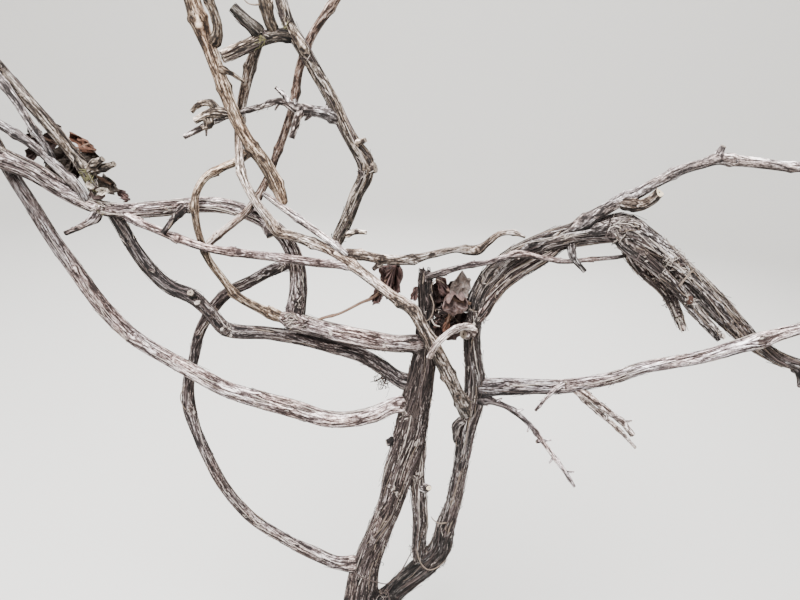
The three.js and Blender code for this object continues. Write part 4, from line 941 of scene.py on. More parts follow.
def tube_faces(rings, sides):
    """The side faces between rings of points, facing out where the rings run anticlockwise along the tube."""
    k, j = np.meshgrid(np.arange(rings - 1), np.arange(sides), indexing="ij")
    a, b = k * sides + j, k * sides + (j + 1) % sides
    return np.stack([a, b, b + sides, a + sides], -1).reshape(-1, 4)


def end_of(rim, facing, rim_ids, first_id, forward):
    """A cut face inside a rim, a little sunk at the pith: its inner points, their grain and relief, and its
    two blocks of faces."""
    sides = len(rim)
    middle = rim.mean(0)
    spread = np.linalg.norm(rim - middle, axis=1).mean()
    points = [middle + (rim - middle) * share + facing * sink * spread for share, sink in END_RINGS]
    points = np.concatenate([*points, [middle - facing * PITH_SINK * spread]])
    level = circle(np.array([1, 0, 0]), np.array([0, 1, 0]), sides)
    grain = np.concatenate([*(share * spread * level for share, _ in END_RINGS), [[0.0, 0.0, 0.0]]])
    relief = np.concatenate([*(np.full(sides, share) for share, _ in END_RINGS), [0.0]])
    ids = np.concatenate([rim_ids, first_id + np.arange(sides * len(END_RINGS))])
    walls = ids[tube_faces(len(END_RINGS) + 1, sides)]
    last = ids[-sides:]
    fan = np.stack([last, np.roll(last, -1), np.full(sides, ids[-1] + 1)], 1)
    step = 1 if forward else -1
    return points, grain, relief, walls[:, ::step], fan[:, ::step]


def add_skin(piece, limb, bark, seed, collar=None, cut_slot=TIP_CUT, torn=0, slant=0.0):
    """The limb's bark, closed by a face in its root and a cut face at its tip. torn: how far back its tip is
    torn. slant: how steeply the cut is turned to the viewer."""
    columns = max(LEAST_COLUMNS, round(limb.girth / GRID_ROUND))
    rows = max(4, round((limb.length - limb.foot) / GRID_ALONG))
    along = np.linspace(limb.foot, limb.length, rows + 1)
    along, turn = np.meshgrid(along, np.arange(columns) / columns, indexing="ij")
    theta = 2 * math.pi * turn
    if torn:
        bite = streaks(0 * along, turn, limb.girth / TEAR_WIDTH, seed + 8)
        along = along - torn * bite * eased_between(limb.length - 4 * torn, limb.length, along)
    reach = limb.between(limb.reach, along)
    if slant:
        near = -limb.radial(along, theta)[..., 1]
        along = along - slant * reach * near * eased_between(limb.length - 3 * reach, limb.length, along)
        along = np.minimum(along, limb.length)
    flow, swell, fleck = knotted(limb, along, turn, theta, seed)
    out, relief, tone = bark_relief(bark, along, flow, limb.girth, seed)
    out = out * np.clip(reach / reach.mean(), 0.3, 1.15)
    out = out + collar_swell(along, theta, reach, collar, seed)
    out = out + node_swell(limb, bark, along, theta, reach, seed) + swell
    points = limb.at(along, theta, out)
    mean = limb.girth / (2 * math.pi)
    grain = mean * np.stack([np.cos(2 * math.pi * flow), np.sin(2 * math.pi * flow), along / mean], -1)
    grain[..., 2] += GRAIN_STEP * (seed % 31)
    side_count = (rows + 1) * columns
    root_ids, tip_ids = np.arange(columns), side_count - columns + np.arange(columns)
    root = end_of(points[0], -limb.tangent[0] * (not limb.flared), root_ids, side_count, False)
    tip = end_of(points[-1], limb.tangent[-1], tip_ids, side_count + len(root[0]), True)
    blocks = [(tube_faces(rows + 1, columns), BARK, True)]
    blocks += [(faces, cut_slot, False) for faces in (*root[3:], *tip[3:])]
    ends = np.ones(len(root[0]) + len(tip[0]))
    # The shade value carries the limb's shades and its painted top light and underside shade.
    piece.add(np.concatenate([points.reshape(-1, 3), root[0], tip[0]]), blocks,
        np.concatenate([grain.reshape(-1, 3), root[1], tip[1]]),
        np.concatenate([relief.ravel(), root[2], tip[2]]),
        np.concatenate([(tone + fleck).ravel(), 0.5 * ends]),
        np.concatenate([limb.shade(along, theta).ravel(), ends]))


def knotted(limb, along, turn, theta, seed):
    """How the bark flows round the limb's knots, how far it stands out on them, and their pale flecks."""
    gnarl = streaks(along / 2.2, turn, limb.girth / 2.4, seed + 9) - 0.5
    flow, swell, fleck = turn, 0.0, 0.0
    for size, off, far in limb.near_knots(along, theta):
        flow = flow - 0.8 * off * bell(far / 1.4)
        swell = swell + 0.5 * size * bell(far) * gnarl
        fleck = fleck + 5 * bell(far) * (gnarl - 0.2)
    return flow, swell, fleck


def collar_swell(along, theta, reach, collar, seed):
    """How far the bark stands out where the limb leaves its parent, inside which it narrows to its root."""
    if collar is None:
        return 0.0
    swell = 0.22 * reach * np.exp(-np.maximum(along - collar, 0) / (1.4 * reach))
    sunk = 0.6 * reach * (1 - eased_between(0, 1, along / max(collar, 1)))
    return swell * (1 + 0.3 * np.sin(7 * theta + seed)) - sunk


def node_swell(limb, bark, along, theta, reach, seed):
    """How far a cane stands out at its nodes."""
    swell = np.zeros(along.shape)
    for at, side in node_places(limb, bark, seed):
        ring = 0.2 * bell((along - at) / 3.2) + 0.12 * bell((along - at) / 9)
        swell += reach * ring * (1 + 0.35 * np.cos(theta - side))
    return swell


def node_places(limb, bark, seed):
    """Where a cane's nodes come along it, with the side that each one's bud is on."""
    if bark.node_gap is None:
        return []
    rng = np.random.default_rng(seed)
    first = rng.uniform(0, 2 * math.pi)
    places = []
    at = bark.node_gap * rng.uniform(0.3, 0.7)
    while at < limb.length - BARE_TIP:
        places.append((at, first + math.pi * len(places)))
        at += bark.node_gap * rng.uniform(0.75, 1.25)
    return places


def add_tubes(piece, points, slots, grain=None, relief=0.5, tone=0.5):
    """Adds many closed tubes, each with a material of its own, from points in the order tube, ring, side."""
    tubes, rings, sides = shape = points.shape[:3]
    first = np.arange(tubes)[:, None] * rings * sides
    walls = (tube_faces(rings, sides) + first[..., None]).reshape(-1, 4)
    starts = first + np.arange(sides)[::-1]
    ends = first + (rings - 1) * sides + np.arange(sides)
    wall_slots = np.repeat(slots, (rings - 1) * sides)
    piece.add(points, [(walls, wall_slots, True), (starts, slots, False), (ends, slots, False)], grain,
        np.broadcast_to(relief, shape), np.broadcast_to(tone, shape))


def each_between(rng, count):
    """Draws a number for each of many, between the bounds that it is given."""
    return lambda low, high: rng.uniform(low, high, (count, 1))


def strip_count(limb, area):
    return max(1, round(limb.length * limb.girth / area))


def add_strips(piece, limb, bark, seed, shares, spot=None, wild=STRIP_WILD):
    """Loose strips of bark that lie along a limb and curl off it at one end, all over it or torn up round a
    spot: [how far along, how far round, size, count]. wild: how far aside they stray, beside their length."""
    area, length, width, lift = bark.strips
    rng = np.random.default_rng(seed)
    count = strip_count(limb, area) if spot is None else spot[3]
    each = each_between(rng, count)
    t = np.linspace(0, 1, STRIP_STEPS)[None]
    run, facing = length * each(0.4, 1.5), each(0, 2 * math.pi)
    start = each(0, 1) * (limb.length - 0.5 * run) - 0.25 * run
    if spot is not None:
        s, side, size, _ = spot
        run, lift = size * each(0.4, 1.3), 1.5 * lift
        facing = side + rng.normal(0, 2.4, (count, 1)) * size / limb.girth
        start = s + 0.4 * size * rng.normal(size=(count, 1)) - 0.5 * run
    along = np.clip(start + run * t, limb.foot + 3, limb.length - 1)
    reach = limb.between(limb.reach, along)
    sway = each(-1, 1) * np.sin(math.pi * t * each(0.6, 1.4) + each(0, 6)) * 1.1 * width / reach
    sway = sway + rng.normal(0, wild, (count, 1)) * run * t / reach
    theta = facing + 2 * math.pi * bark.twist * (along - along[:, :1]) / 1000 + sway
    free = np.where(each(0, 1) > 0.5, t, 1 - t)
    hold = each(0.2, 0.75)
    lift = lift * np.minimum(rng.exponential(1, (count, 1)), 3)
    curl = lift * (np.maximum(free - hold, 0) / (1 - hold)) ** 1.7
    lying = bark.plate[2] * each(0.0, 0.55) + 0.15
    place = limb.at(along, theta, lying + curl)
    tangent = unit(np.gradient(place, axis=1))
    across = unit(np.cross(limb.radial(along, theta), tangent))
    up = np.cross(tangent, across)
    wide = width * each(0.4, 1.5) * np.sin(math.pi * (0.06 + 0.9 * t)) ** 0.6 / 2
    wide = (wide * (1 + 0.25 * np.sin(t * each(9, 25) + each(0, 6))))[..., None]
    thick = (0.12 * width + 0.16) * each(0.7, 1.3)[..., None]
    edges = [place + across * wide, place + up * thick, place - across * wide, place - up * thick * 0.7]
    points = np.stack(edges, 2)
    own = STRIP_GRAIN_STEP * np.arange(count)[:, None, None]
    parts = [np.array([1, 0, -1, 0]) * wide, own, along[..., None]]
    grain = np.stack([np.broadcast_to(part, points.shape[:3]) for part in parts], -1)
    slots = dealt(rng, limb, along, theta, shares)
    add_tubes(piece, points, slots, grain, np.array([0.9, 0.7, 0.9, 0.2]), rng.random((count, 1, 1)))


def dealt(rng, limb, along, theta, shares):
    """A colour for each strip, from the colours' shares: the darker the limb there, the fewer pale ones."""
    # The limb's shade includes its painted top light, so strips on its underside come out darker.
    shade = limb.shade(along, theta).mean(1, keepdims=True)
    odds = np.cumsum(np.array(shares) * shade ** np.array(PALENESS[:len(shares)]), 1)
    return (rng.random((len(odds), 1)) * odds[:, -1:] > odds[:, :-1]).sum(1)


def add_fibres(piece, limb, bark, seed, shares):
    """Thin fibres that stand off the bark."""
    area, length, width, lift = bark.strips
    rng = np.random.default_rng(seed)
    count = strip_count(limb, area * STRIPS_TO_A_FIBRE)
    each = each_between(rng, count)
    t = np.linspace(0, 1, FIBRE_STEPS)[None]
    run = length * each(0.7, 1.9) * np.where(each(0, 1) > 0.5, 1, -1)
    along = np.clip(each(0.02, 0.98) * limb.length + run * (t - 0.3), limb.foot + 3, limb.length - 1)
    reach = limb.between(limb.reach, along)
    theta = each(0, 2 * math.pi) + each(-1, 1) * 3.5 * width / reach * t**1.5
    theta = theta + 0.12 * np.sin(t * each(3, 12))
    out = 0.3 + lift * 1.1 * np.minimum(rng.exponential(0.8, (count, 1)), 3) * t * (1.25 - t)
    out = out + 0.4 * lift * t * np.sin(t * each(2, 9) + each(0, 6))
    radius = FIBRE_RADIUS * each(0.6, 1.5) * (1 - 0.7 * t)
    slots = dealt(rng, limb, along, theta, shares)
    add_threads(piece, limb.at(along, theta, out), radius, slots, rng)


def add_threads(piece, place, radius, slots, rng):
    """Thin round threads along paths of points, in the order thread, point."""
    count, steps = place.shape[:2]
    tangent = unit(np.gradient(place, axis=1))
    side = unit(np.cross(tangent, unit(rng.normal(size=(count, 1, 3)))))
    ring = circle(side[:, :, None], np.cross(tangent, side)[:, :, None], THREAD_SIDES)
    points = place[:, :, None] + ring * np.broadcast_to(radius, (count, steps))[..., None, None]
    add_tubes(piece, points, slots, relief=0.6, tone=rng.random((count, 1, 1)))


def add_scar(piece, limb, x, z, radius, slot):
    """A low rough disc of bare wood, a little hollow in its middle."""
    s, facing = (np.array([value]) for value in limb.seat(x, z))
    out = limb.radial(s, facing)[0]
    side = limb.between(limb.tangent, s)[0]
    turns = turns_round(SCAR_SIDES)
    rough = 1 + 0.2 * np.sin(2 * turns + x) + 0.16 * np.sin(5 * turns + z)
    ring = circle(side, np.cross(out, side), SCAR_SIDES) * rough[:, None]
    middle = limb.at(s, facing)[0]
    points = np.stack([middle + radius * (wide * ring + out * high) for wide, high in SCAR_RINGS])
    add_tubes(piece, points[None], np.array([slot]))


def add_loose_fibre(piece, rows, slot):
    limb = Limb(rows)
    rng = np.random.default_rng(round(limb.length))
    add_threads(piece, limb.centre[None], limb.reach[None], np.array([slot]), rng)


def add_tangle(piece, x, z, depth, size, count, seed, shares):
    """A mess of bark fibres caught in a fork."""
    rng = np.random.default_rng(seed)
    shape = (count, 1, 1)
    t = np.linspace(-1, 1, FIBRE_STEPS)[None, :, None]
    way = unit(rng.normal(size=(count, 1, 3)) * np.array([1, 0.6, 1.2]))
    bend = unit(np.cross(way, rng.normal(size=(count, 1, 3))))
    start = seen_place(x, z, depth) + rng.normal(size=(count, 1, 3)) * size * np.array([0.4, 0.2, 0.4])
    reach = size * rng.uniform(0.3, 0.9, shape)
    turned = t * rng.uniform(0.6, 2.6, shape)
    bent = bend * (np.cos(turned) - 0.6) * rng.uniform(0.4, 1, shape)
    place = start + reach * (way * np.sin(turned) + bent)
    place = place + 0.08 * size * np.sin(5 * t + rng.uniform(0, 6, shape))
    slots = rng.choice(len(shares), count, p=shares)
    add_threads(piece, place, FIBRE_RADIUS * rng.uniform(0.6, 1.8, (count, 1)), slots, rng)


def add_bud(piece, base, way, length, radius, slot):
    """A pointed bud, leaning along way."""
    shares = np.linspace(0, 1, 6)
    fat = radius * np.sqrt(np.maximum(1 - shares**1.6, 0)) * (0.75 + 0.5 * np.sin(math.pi * shares)) + 0.05
    side = unit(np.cross(way, np.array([0.31, 0.87, 0.38])))
    ring = circle(side, np.cross(way, side), BUD_SIDES)
    points = base + way * (shares * length - 0.25 * length)[:, None, None] + ring[None] * fat[:, None, None]
    add_tubes(piece, points[None], np.array([slot]))


def add_node_bud(piece, limb, at, side):
    """The bud at a cane's node."""
    at, side = np.array([at]), np.array([side])
    base = limb.at(at + 1.5, side)[0]
    way = unit(limb.radial(at, side)[0] * 0.8 + limb.between(limb.tangent, at)[0])
    size = BUD_SIZE * float(limb.between(limb.reach, at)[0])
    add_bud(piece, base, way, 2.6 * size, 0.8 * size, 0)


def side_twigs(rows, seed):
    """The small side twigs of a mass: one at most nodes of its stem, on alternate sides, leaning to its
    tip."""
    state = seed
    twigs = []
    for i in range(1, len(rows) - 1):
        x, z, depth, radius = rows[i]
        run_x, run_z = rows[i + 1][0] - rows[i - 1][0], rows[i + 1][1] - rows[i - 1][1]
        run = math.hypot(run_x, run_z)
        side = 1 if (i - 1) % 2 else -1
        state = (state * DRAW_STEP) % DRAW_LIMIT
        out = radius + TWIG_REACH * (0.6 + 0.8 * state / DRAW_LIMIT)
        tip_x = x + out * (0.6 * run_x - side * run_z) / run
        tip_z = z + out * (0.6 * run_z + side * run_x) / run
        state = (state * DRAW_STEP) % DRAW_LIMIT
        if state / DRAW_LIMIT <= TWIG_SHARE:
            middle = [(x + tip_x) / 2, (z + tip_z) / 2, depth - 1, 0.55 * radius]
            twigs.append([[x, z, depth, 0.7 * radius], middle, [tip_x, tip_z, depth - 2, 0.3 * radius]])
    return twigs


def add_finer_twigs(piece, twig, seed):
    """A bud at the end of a side twig, and one to three thin twiglets."""
    rng = np.random.default_rng(seed)
    limb = Limb(twig)
    add_bud(piece, limb.centre[-1], limb.tangent[-1], 2.6, 1.1, 0)
    count = int(rng.integers(1, 4))
    t = np.linspace(0, 1, 6)[None, :, None]
    start = limb.centre[len(limb.centre) // 2]
    way = unit(limb.tangent[-1] + 0.8 * rng.normal(size=(count, 1, 3)) * np.array([1, 0.6, 1]))
    place = start + way * t * rng.uniform(2.5, 5.5, (count, 1, 1))
    place = place + 0.8 * rng.normal(size=(count, 1, 3)) * t**2
    add_threads(piece, place, 0.5 * (1 - 0.5 * t[..., 0]), np.zeros(count, int), rng)


def leaf_blade(kind, index, rng):
    """A dry lobed blade, pleated along its veins, crumpled, and rolled about its midrib: its points by ring
    and sector, how near a vein each is, and its grain."""
    shares = np.linspace(0.03, 1, LEAF_RINGS)
    rho, phi = np.meshgrid(shares, turns_round(LEAF_SECTORS), indexing="ij")
    around = np.mod(phi + math.pi, 2 * math.pi) - math.pi
    rim = 0.5 + 0 * phi
    vein = np.zeros(phi.shape)
    for lobe, reach in LEAF_LOBES:
        away = np.abs(np.abs(around) - math.radians(lobe))
        rim += kind.lobed * reach * bell(away / LOBE_SPREAD)
        vein = np.maximum(vein, bell(away * rho / VEIN_WIDTH))
    rim = rim * (1 - kind.lobed * bell((math.pi - np.abs(around)) / STALK_NOTCH))
    rim = rim * (1 + 0.03 * np.abs(np.sin(15 * phi + index)) + 0.06 * np.sin(3 * phi + index))
    side = 0.5 + 0.4 * np.cos(phi) + 0.25 * np.sin(2 * phi + index)
    slope = kind.cup * 1.6 * rho + kind.curl * eased_between(0.68, 1.0, rho) * side
    step = 1 / LEAF_RINGS
    far, out = rim * np.cumsum(np.cos(slope), 0) * step, rim * np.cumsum(np.sin(slope), 0) * step
    a, d = far * np.sin(around * kind.spread), far * np.cos(around * kind.spread)
    out += kind.pleat * rho * np.cos(7 * around + 0.6 * np.sin(3 * around + index))
    for _ in range(LEAF_WRINKLES):
        wave, angle, shift = rng.uniform(5, 15), rng.uniform(0, math.pi), rng.uniform(0, 6)
        crest = np.abs(np.sin(wave * (a * math.cos(angle) + d * math.sin(angle)) + shift))
        out += kind.wrinkle / wave * crest
        a, d = a + 0.12 / wave * crest * math.cos(angle), d + 0.12 / wave * crest * math.sin(angle)
    out += 0.012 * vein
    roll, bend = kind.roll, rng.uniform(0.6, 1.1)
    a, out = (roll + out) * np.sin(a / roll), roll - (roll - out) * np.cos(a / roll)
    d, out = (bend - out) * np.sin(d / bend), bend - (bend - out) * np.cos(d / bend)
    grain = np.stack([rho * np.sin(phi), rho * np.cos(phi), 0 * rho + index], -1)
    return np.stack([a, d, out], -1), vein, grain


def add_leaf(piece, leaf, index, slot):
    """A dry leaf with a front, a back and a rim."""
    x, z, depth, size, turn, kind = leaf
    rng = np.random.default_rng(SEEDS["leaf"] + index)
    blade, vein, grain = leaf_blade(LEAF_KINDS[kind], index, rng)
    low, high = blade.reshape(-1, 3).min(0), blade.reshape(-1, 3).max(0)
    shape = np.array([LEAF_KINDS[kind].narrow, 1.0, LEAF_RISE])
    blade = (blade - (low + high) / 2) * size * shape / (high - low)[[0, 1, 1]]
    cosine, sine = math.cos(math.radians(turn)), math.sin(math.radians(turn))
    front = seen_place(x, z, depth) + blade @ np.array([[cosine, 0, -sine], [-sine, 0, -cosine], [0, -1, 0]])
    round_it = np.roll(front, -1, 1) - np.roll(front, 1, 1)
    back = front - unit(np.cross(np.gradient(front, axis=0), round_it)) * LEAF_THICKNESS
    middles = [[face[0].mean(0)] for face in (front, back)]
    points = np.concatenate([front.reshape(-1, 3), back.reshape(-1, 3), *middles])
    total = LEAF_RINGS * LEAF_SECTORS
    j = np.arange(LEAF_SECTORS)
    after = (j + 1) % LEAF_SECTORS
    edge = total - LEAF_SECTORS
    front_faces = tube_faces(LEAF_RINGS, LEAF_SECTORS)[:, ::-1]
    rim_faces = np.stack([edge + j, edge + total + j, edge + total + after, edge + after], 1)
    middles = [(2 * total, j, after), (2 * total + 1, total + after, total + j)]
    middle_faces = [np.stack([np.full(LEAF_SECTORS, middle), *sides], 1) for middle, *sides in middles]
    blocks = [front_faces, front_faces[:, ::-1] + total, rim_faces, *middle_faces]
    grain = np.concatenate([grain.reshape(-1, 3) * size] * 2 + [[[0, 0, index * size]]] * 2)
    relief = np.concatenate([vein.ravel(), vein.ravel(), [1, 1]])
    piece.add(points, [(faces, slot, True) for faces in blocks], grain, relief, rng.random())


def srgb(colour):
    """A colour given in the usual steps from 0 to 255, as the shader takes it."""
    parts = [c / 255 for c in colour]
    return [c / 12.92 if c <= 0.04045 else ((c + 0.055) / 1.055) ** 2.4 for c in parts] + [1.0]


WHITE = srgb((255, 255, 255))


class Look:
    """A material whose nodes are added one at a time."""

    def __init__(self, name, roughness):
        self.material = bpy.data.materials.new(name)
        self.material.use_nodes = True
        self.tree = self.material.node_tree
        self.shader = self.tree.nodes["Principled BSDF"]
        self.shader.inputs["Roughness"].default_value = roughness
        self.shader.inputs["Specular IOR Level"].default_value = 0.25

    def add(self, kind, inputs, output=0, **settings):
        """Adds a node and gives back its output; an input is a number, a colour or another output."""
        node = self.tree.nodes.new("ShaderNode" + kind)
        for key, value in settings.items():
            setattr(node, key, value)
        for key, value in inputs.items():
            if isinstance(value, bpy.types.NodeSocket):
                self.tree.links.new(value, node.inputs[key])
            else:
                node.inputs[key].default_value = value
        return node.outputs[output]

    def value(self, name, output="Fac"):
        return self.add("Attribute", {}, output, attribute_name=name)

    def cloudy(self, scale, detail):
        """Noise that is as wide as it is long."""
        grain = self.value("grain", "Vector")
        return self.add("TexNoise", {"Vector": grain, "Scale": scale, "Detail": detail})

    def noise(self, width, length, detail=3.0):
        """Noise in the grain of the wood, so wide across it and so long along it, in millimetres."""
        scale = (1 / width, 1 / width, 1 / length)
        placed = self.add("Mapping", {"Vector": self.value("grain", "Vector"), "Scale": scale})
        return self.add("TexNoise", {"Vector": placed, "Scale": 1.0, "Detail": detail, "Roughness": 0.6})

    def math(self, operation, a, b):
        return self.add("Math", {0: a, 1: b}, operation=operation)

    def blend(self, shares, shift):
        """The sum of several values, each times its weight, and a shift."""
        total = shift
        for value, weight in shares:
            total = self.add("Math", {0: value, 1: weight, 2: total}, operation="MULTIPLY_ADD")
        return total

    def ramp(self, value, stops):
        node = self.tree.nodes.new("ShaderNodeValToRGB")
        self.tree.links.new(value, node.inputs[0])
        while len(node.color_ramp.elements) < len(stops):
            node.color_ramp.elements.new(0.5)
        for element, (place, colour) in zip(node.color_ramp.elements, stops):
            element.position = place
            element.color = colour
        return node.outputs[0]

    def mix(self, share, a, b, blend="MIX"):
        return self.add("Mix", {"Factor": share, 6: a, 7: b}, 2, data_type="RGBA", blend_type=blend)

    def times(self, a, b):
        return self.mix(1.0, a, b, "MULTIPLY")

    def bump(self, height, distance, strength=1.0):
        bump = self.add("Bump", {"Height": height, "Distance": distance * MM, "Strength": strength})
        self.tree.links.new(bump, self.shader.inputs["Normal"])

    def colour(self, socket):
        self.tree.links.new(socket, self.shader.inputs["Base Color"])
        return self.material


def bark_look(name, tint, grain):
    """Bark whose colour runs from its cracks to its crests, with fibres along it and bleached edges."""
    look = Look(name, 0.88)
    width, length, weight, share = grain
    streak, patch = look.noise(width, length), look.noise(*WARM_PATCH_SIZE, 2.0)
    marks = [(look.noise(*mark[:2], 2.0), mark[2]) for mark in (FINE, SPECKS, MOTTLE)]
    level = BARK_LEVEL - 0.8 * share - 0.5 * (weight + TONE_WEIGHT + sum(mark[1] for mark in marks))
    # The relief darkens the cracks and plate edges, partly as their own colour, partly as painted shade.
    values = [(look.value("relief"), share), (look.value("tone"), TONE_WEIGHT), (streak, weight), *marks]
    height = look.blend(values, level)
    base = look.ramp(height, list(zip(BARK_STOPS, map(srgb, TINTS[tint]))))
    # Times the shade value: the limb's shades, with painted light and shade.
    base = look.times(base, look.value("shade"))
    warm = look.times(base, srgb(WARM_PATCH))
    reach = {"Value": patch, "From Min": 0.42, "From Max": 0.62, "To Min": 0.0, "To Max": 0.8}
    look.bump(height, 0.55)
    return look.colour(look.mix(look.add("MapRange", reach), base, warm))


def strip_look(name, colour, roughness=0.9):
    """A loose strip or twig of one colour, with its grain showing faintly."""
    look = Look(name, roughness)
    grain = look.noise(0.6, 9, 2.0)
    look.bump(grain, 0.2, 0.7)
    return look.colour(look.times(srgb(colour), look.ramp(grain, [(0.3, srgb(STRIP_SHADOW)), (0.7, WHITE)])))


def cut_look(name, wood, ring):
    """Sawn or snapped wood: rings round a dark pith."""
    look = Look(name, 0.8)
    placed = look.add("Mapping", {"Vector": look.value("grain", "Vector"), "Scale": (1.0, 1.0, 0.0)})
    far = look.add("VectorMath", {0: placed}, 1, operation="LENGTH")
    wave = look.math("SINE", look.math("MULTIPLY", far, 4.0), 0.0)
    share = look.math("ADD", look.math("MULTIPLY", wave, 0.2), look.cloudy(1.3, 3.0))
    base = look.ramp(share, [(0.3, srgb(ring)), (0.7, srgb(wood))])
    look.bump(share, 0.2, 0.6)
    return look.colour(look.times(base, look.ramp(look.value("relief"), [(0.12, srgb(PITH)), (0.3, WHITE)])))


def leaf_look(name, kind):
    """A dry leaf with mottled blades and paler veins."""
    look = Look(name, 0.75)
    colour = srgb(kind.colour)
    dark = [0.4 * c for c in colour[:3]] + [1.0]
    base = look.ramp(look.cloudy(0.22, 5.0), [(0.35, dark), (0.62, colour)])
    scorched = look.ramp(look.cloudy(0.12, 2.0), [(0.45, WHITE), (0.6, srgb(SCORCHED))])
    look.bump(look.cloudy(0.7, 3.0), 0.5, 0.8)
    share = look.math("MULTIPLY", look.value("relief"), 0.4)
    return look.colour(look.mix(share, look.times(base, scorched), srgb(kind.vein)))


def make_camera():
    pitch, roll = math.radians(LOOKS_DOWN), math.radians(LEANS)
    forward = Vector((0, math.cos(pitch), -math.sin(pitch)))
    level_up = Vector((0, math.sin(pitch), math.cos(pitch)))
    right = math.cos(roll) * Vector((1, 0, 0)) + math.sin(roll) * level_up
    up = math.cos(roll) * level_up - math.sin(roll) * Vector((1, 0, 0))
    data = bpy.data.cameras.new("camera")
    data.lens, data.sensor_width = LENS, SENSOR
    data.clip_start, data.clip_end = 0.01, 100
    camera = put_in_scene("camera", data)
    turned = Matrix((right, up, -forward)).transposed().to_4x4()
    camera.matrix_world = Matrix.Translation(Vector(EYE) * MM) @ turned
    bpy.context.scene.camera = camera


def make_studio():
    """A pale floor that curves up into a wall all round, with large soft lights."""
    bend = [(FLOOR_RADIUS + WALL_BEND * math.sin(a), WALL_BEND * (1 - math.cos(a)))
        for a in np.linspace(0, math.pi / 2, 13)]
    profile = [(0.02, 0.0), (0.5 * FLOOR_RADIUS, 0.0), *bend, (FLOOR_RADIUS + WALL_BEND, WALL_HEIGHT)]
    points = np.array([[(r * math.cos(a), r * math.sin(a), z) for a in turns_round(FLOOR_SIDES)]
        for r, z in profile])
    mesh = bpy.data.meshes.new("studio_floor")
    faces = tube_faces(len(profile), FLOOR_SIDES)[:, ::-1].tolist()
    mesh.from_pydata(points.reshape(-1, 3).tolist(), [], faces + [list(range(FLOOR_SIDES))])
    mesh.shade_smooth()
    look = Look("studio_paper", 0.95)
    look.shader.inputs["Base Color"].default_value = srgb(PAPER)
    mesh.materials.append(look.material)
    floor = put_in_scene("studio_floor", mesh)
    for name, place, aim, size, power in LAMPS:
        data = bpy.data.lights.new(name, "AREA")
        data.size, data.energy = size, power
        lamp = put_in_scene(name, data)
        lamp.location = place
        lamp.rotation_euler = (Vector(aim) - Vector(place)).to_track_quat("-Z", "Y").to_euler()
    world = bpy.data.worlds.new("studio_air")
    world.use_nodes = True
    air = world.node_tree.nodes["Background"].inputs
    air["Color"].default_value = srgb(AIR)
    air["Strength"].default_value = AIR_STRENGTH
    bpy.context.scene.world = world


def nodes_of(name):
    """The names of the solids that a limb is split into."""
    count = STEMS[name].nodes
    return [name] if count == 1 else [f"{name}_{k + 1}" for k in range(count)]


def built_limb(index, stem):
    """A limb with its knots and its spurs."""
    # How much painted top light and underside shade the limb gets: its own, or its bark's.
    painted_top_light = BARKS[stem.bark].painted_top_light if stem.painted_top_light is None else stem.painted_top_light
    phase = index * GOLDEN_ANGLE
    limb = Limb(stem.rows, stem.rough, phase, stem.parent is None, stem.shades, painted_top_light)
    limb.knots = limb.seated(stem.knots)
    for rows in stem.spurs:
        spur = Limb(rows, stem.rough, phase, False, stem.shades[-1:], BARKS["stub"].painted_top_light)
        spur.knots = spur.seated([(*rows[k][:2], share * rows[k][3]) for k, share in SPUR_KNOTS])
        limb.spurs.append(spur)
    return limb


def make_skins(limbs):
    """The skin of each limb, with its spurs, its buds and, on a twig mass, its side twigs."""
    cut_looks = {name: cut_look(f"{name}_cut", *colours) for name, colours in CUTS.items()}
    looks = {}
    for i, (name, stem) in enumerate(STEMS.items()):
        limb, bark = limbs[name], BARKS[stem.bark]
        if (stem.bark, stem.tint) not in looks:
            look_name = f"{stem.bark}_bark_{stem.tint}"
            looks[stem.bark, stem.tint] = bark_look(look_name, stem.tint, bark.grain)
        piece = Piece()
        seed = SEEDS["skin"] + i
        collar = collar_of(limb, limbs[stem.parent]) if stem.parent else None
        add_skin(piece, limb, bark, seed, collar, BARK if stem.torn else TIP_CUT, stem.torn, stem.slant)
        for k, spur in enumerate(limb.spurs):
            seed_there = SEEDS["spur"] + 7 * i + k
            add_skin(piece, spur, BARKS["stub"], seed_there, collar_of(spur, limb), SPUR_CUT)
        for at, side in node_places(limb, bark, seed):
            add_node_bud(piece, limb, at, side)
        for k, twig in enumerate(side_twigs(stem.rows, i + 1) if stem.twiggy else ()):
            bare = Limb(twig, shades=limb.shades)
            add_skin(piece, bare, bark, SEEDS["side_twig"] + 9 * i + k, cut_slot=SPUR_CUT)
            add_finer_twigs(piece, twig, SEEDS["twiglet"] + 9 * i + k)
        cuts = [cut_looks[cut] for cut in (stem.cut, stem.spur_cuts)]
        materials = [looks[stem.bark, stem.tint], *cuts]
        piece.make_object("bark_" + name, materials, stem.slot or bark.slot, nodes_of(name))


def ragged_spots(limb, seed):
    """Small spots along a limb where its bark is torn up."""
    rng = np.random.default_rng(seed)
    return [(rng.uniform(limb.foot, limb.length), rng.uniform(0, 2 * math.pi), rng.uniform(*RAGGED_SIZE),
        RAGGED_COUNT) for _ in range(round(limb.length / RAGGED_GAP))]


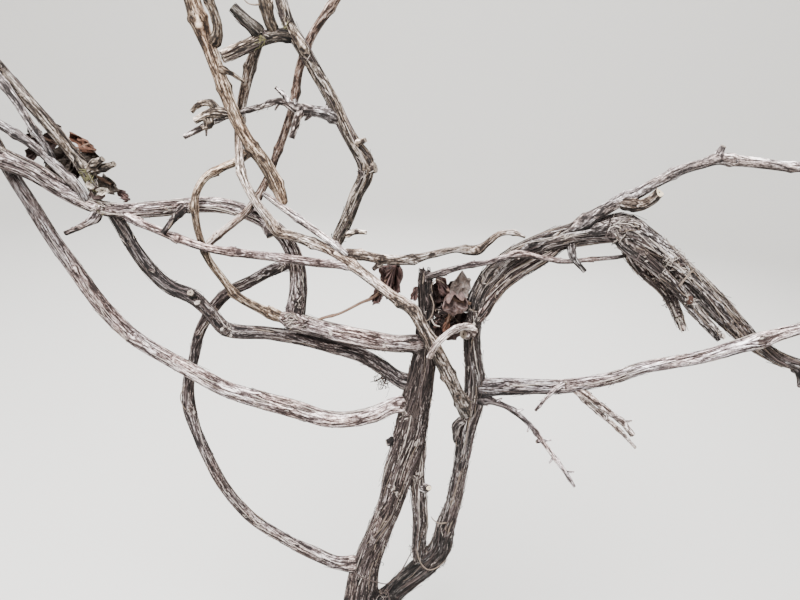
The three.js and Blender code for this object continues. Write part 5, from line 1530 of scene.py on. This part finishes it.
def add_loose_bark(strips, fibres, index, stem, limb, shares):
    """One limb's strips and fibres, its torn and mossy spots, its scars and its spurs' strips."""
    bark = BARKS[stem.bark]
    add_strips(strips, limb, bark, SEEDS["strips"] + index, shares)
    add_fibres(fibres, limb, bark, SEEDS["fibres"] + index, shares)
    frays = limb.seated(stem.frays)
    if bark is not BARKS["stub"]:
        frays += ragged_spots(limb, SEEDS["ragged"] + index)
    kinds = (("fray", frays), ("burl", limb.seated(stem.burls)), ("moss", limb.seated(stem.moss)))
    tufts = [(spot, *TUFTS[kind]) for kind, spots in kinds for spot in spots]
    for k, (spot, wild, tuft_shares) in enumerate(tufts):
        add_strips(strips, limb, bark, SEEDS["tufts"] + 40 * index + k, tuft_shares, spot, wild)
    for scars, colour in ((stem.scars, "pale"), (stem.snapped, "rust")):
        for scar in scars:
            add_scar(strips, limb, *scar, STRIP_SLOTS[colour])
    for k, spur in enumerate(limb.spurs):
        add_strips(strips, spur, BARKS["stub"], SEEDS["spur_strips"] + 20 * index + k, TUFTS["fray"][1])


def make_loose_bark(limbs):
    """The loose bark of each group of limbs, and the fibres that are caught in their forks."""
    colours = [strip_look(f"strip_{name}", colour) for name, colour in STRIP_COLOURS.items()]
    for group, kind in LOOSE_BARK.items():
        strips, fibres = Piece(), Piece()
        members = [(i, name) for i, name in enumerate(STEMS) if STEMS[name].loose == group]
        for i, name in members:
            add_loose_bark(strips, fibres, i, STEMS[name], limbs[name], kind.shares)
        for k, tangle in enumerate(kind.tangles):
            add_tangle(fibres, *tangle, SEEDS["tangle"] + k, TANGLE_SHARES)
        for colour, rows in kind.single:
            add_loose_fibre(fibres, rows, STRIP_SLOTS[colour])
        nodes = [node for _, name in members for node in nodes_of(name)]
        strips.make_object("loose_strips_" + group, colours, kind.slot, nodes)
        fibres.make_object("fibres_" + group, colours, kind.slot, nodes)


def make_leaves():
    looks = [leaf_look("leaf_" + name, kind) for name, kind in LEAF_KINDS.items()]
    stalk = strip_look("leaf_stalk", STALK, 0.8)
    for name, mass in LEAF_MASSES.items():
        leaves, twigs = Piece(), Piece()
        for k, rows in enumerate(mass["twigs"]):
            add_skin(twigs, Limb(rows), BARKS["young"], SEEDS["leaf_twig"] + k, cut_slot=BARK)
        for k, leaf in enumerate(mass["leaves"]):
            slot = list(LEAF_KINDS).index(leaf[5])
            add_leaf(leaves, leaf, k + 5 * slot, slot)
        leaves.make_object(name + "_blades", looks, "dry_leaf", [name])
        twigs.make_object(name + "_twigs", [stalk], "dry_leaf", [name])


make_camera()
make_studio()
LIMBS = {name: built_limb(i, stem) for i, (name, stem) in enumerate(STEMS.items())}
make_skins(LIMBS)
make_loose_bark(LIMBS)
make_leaves()
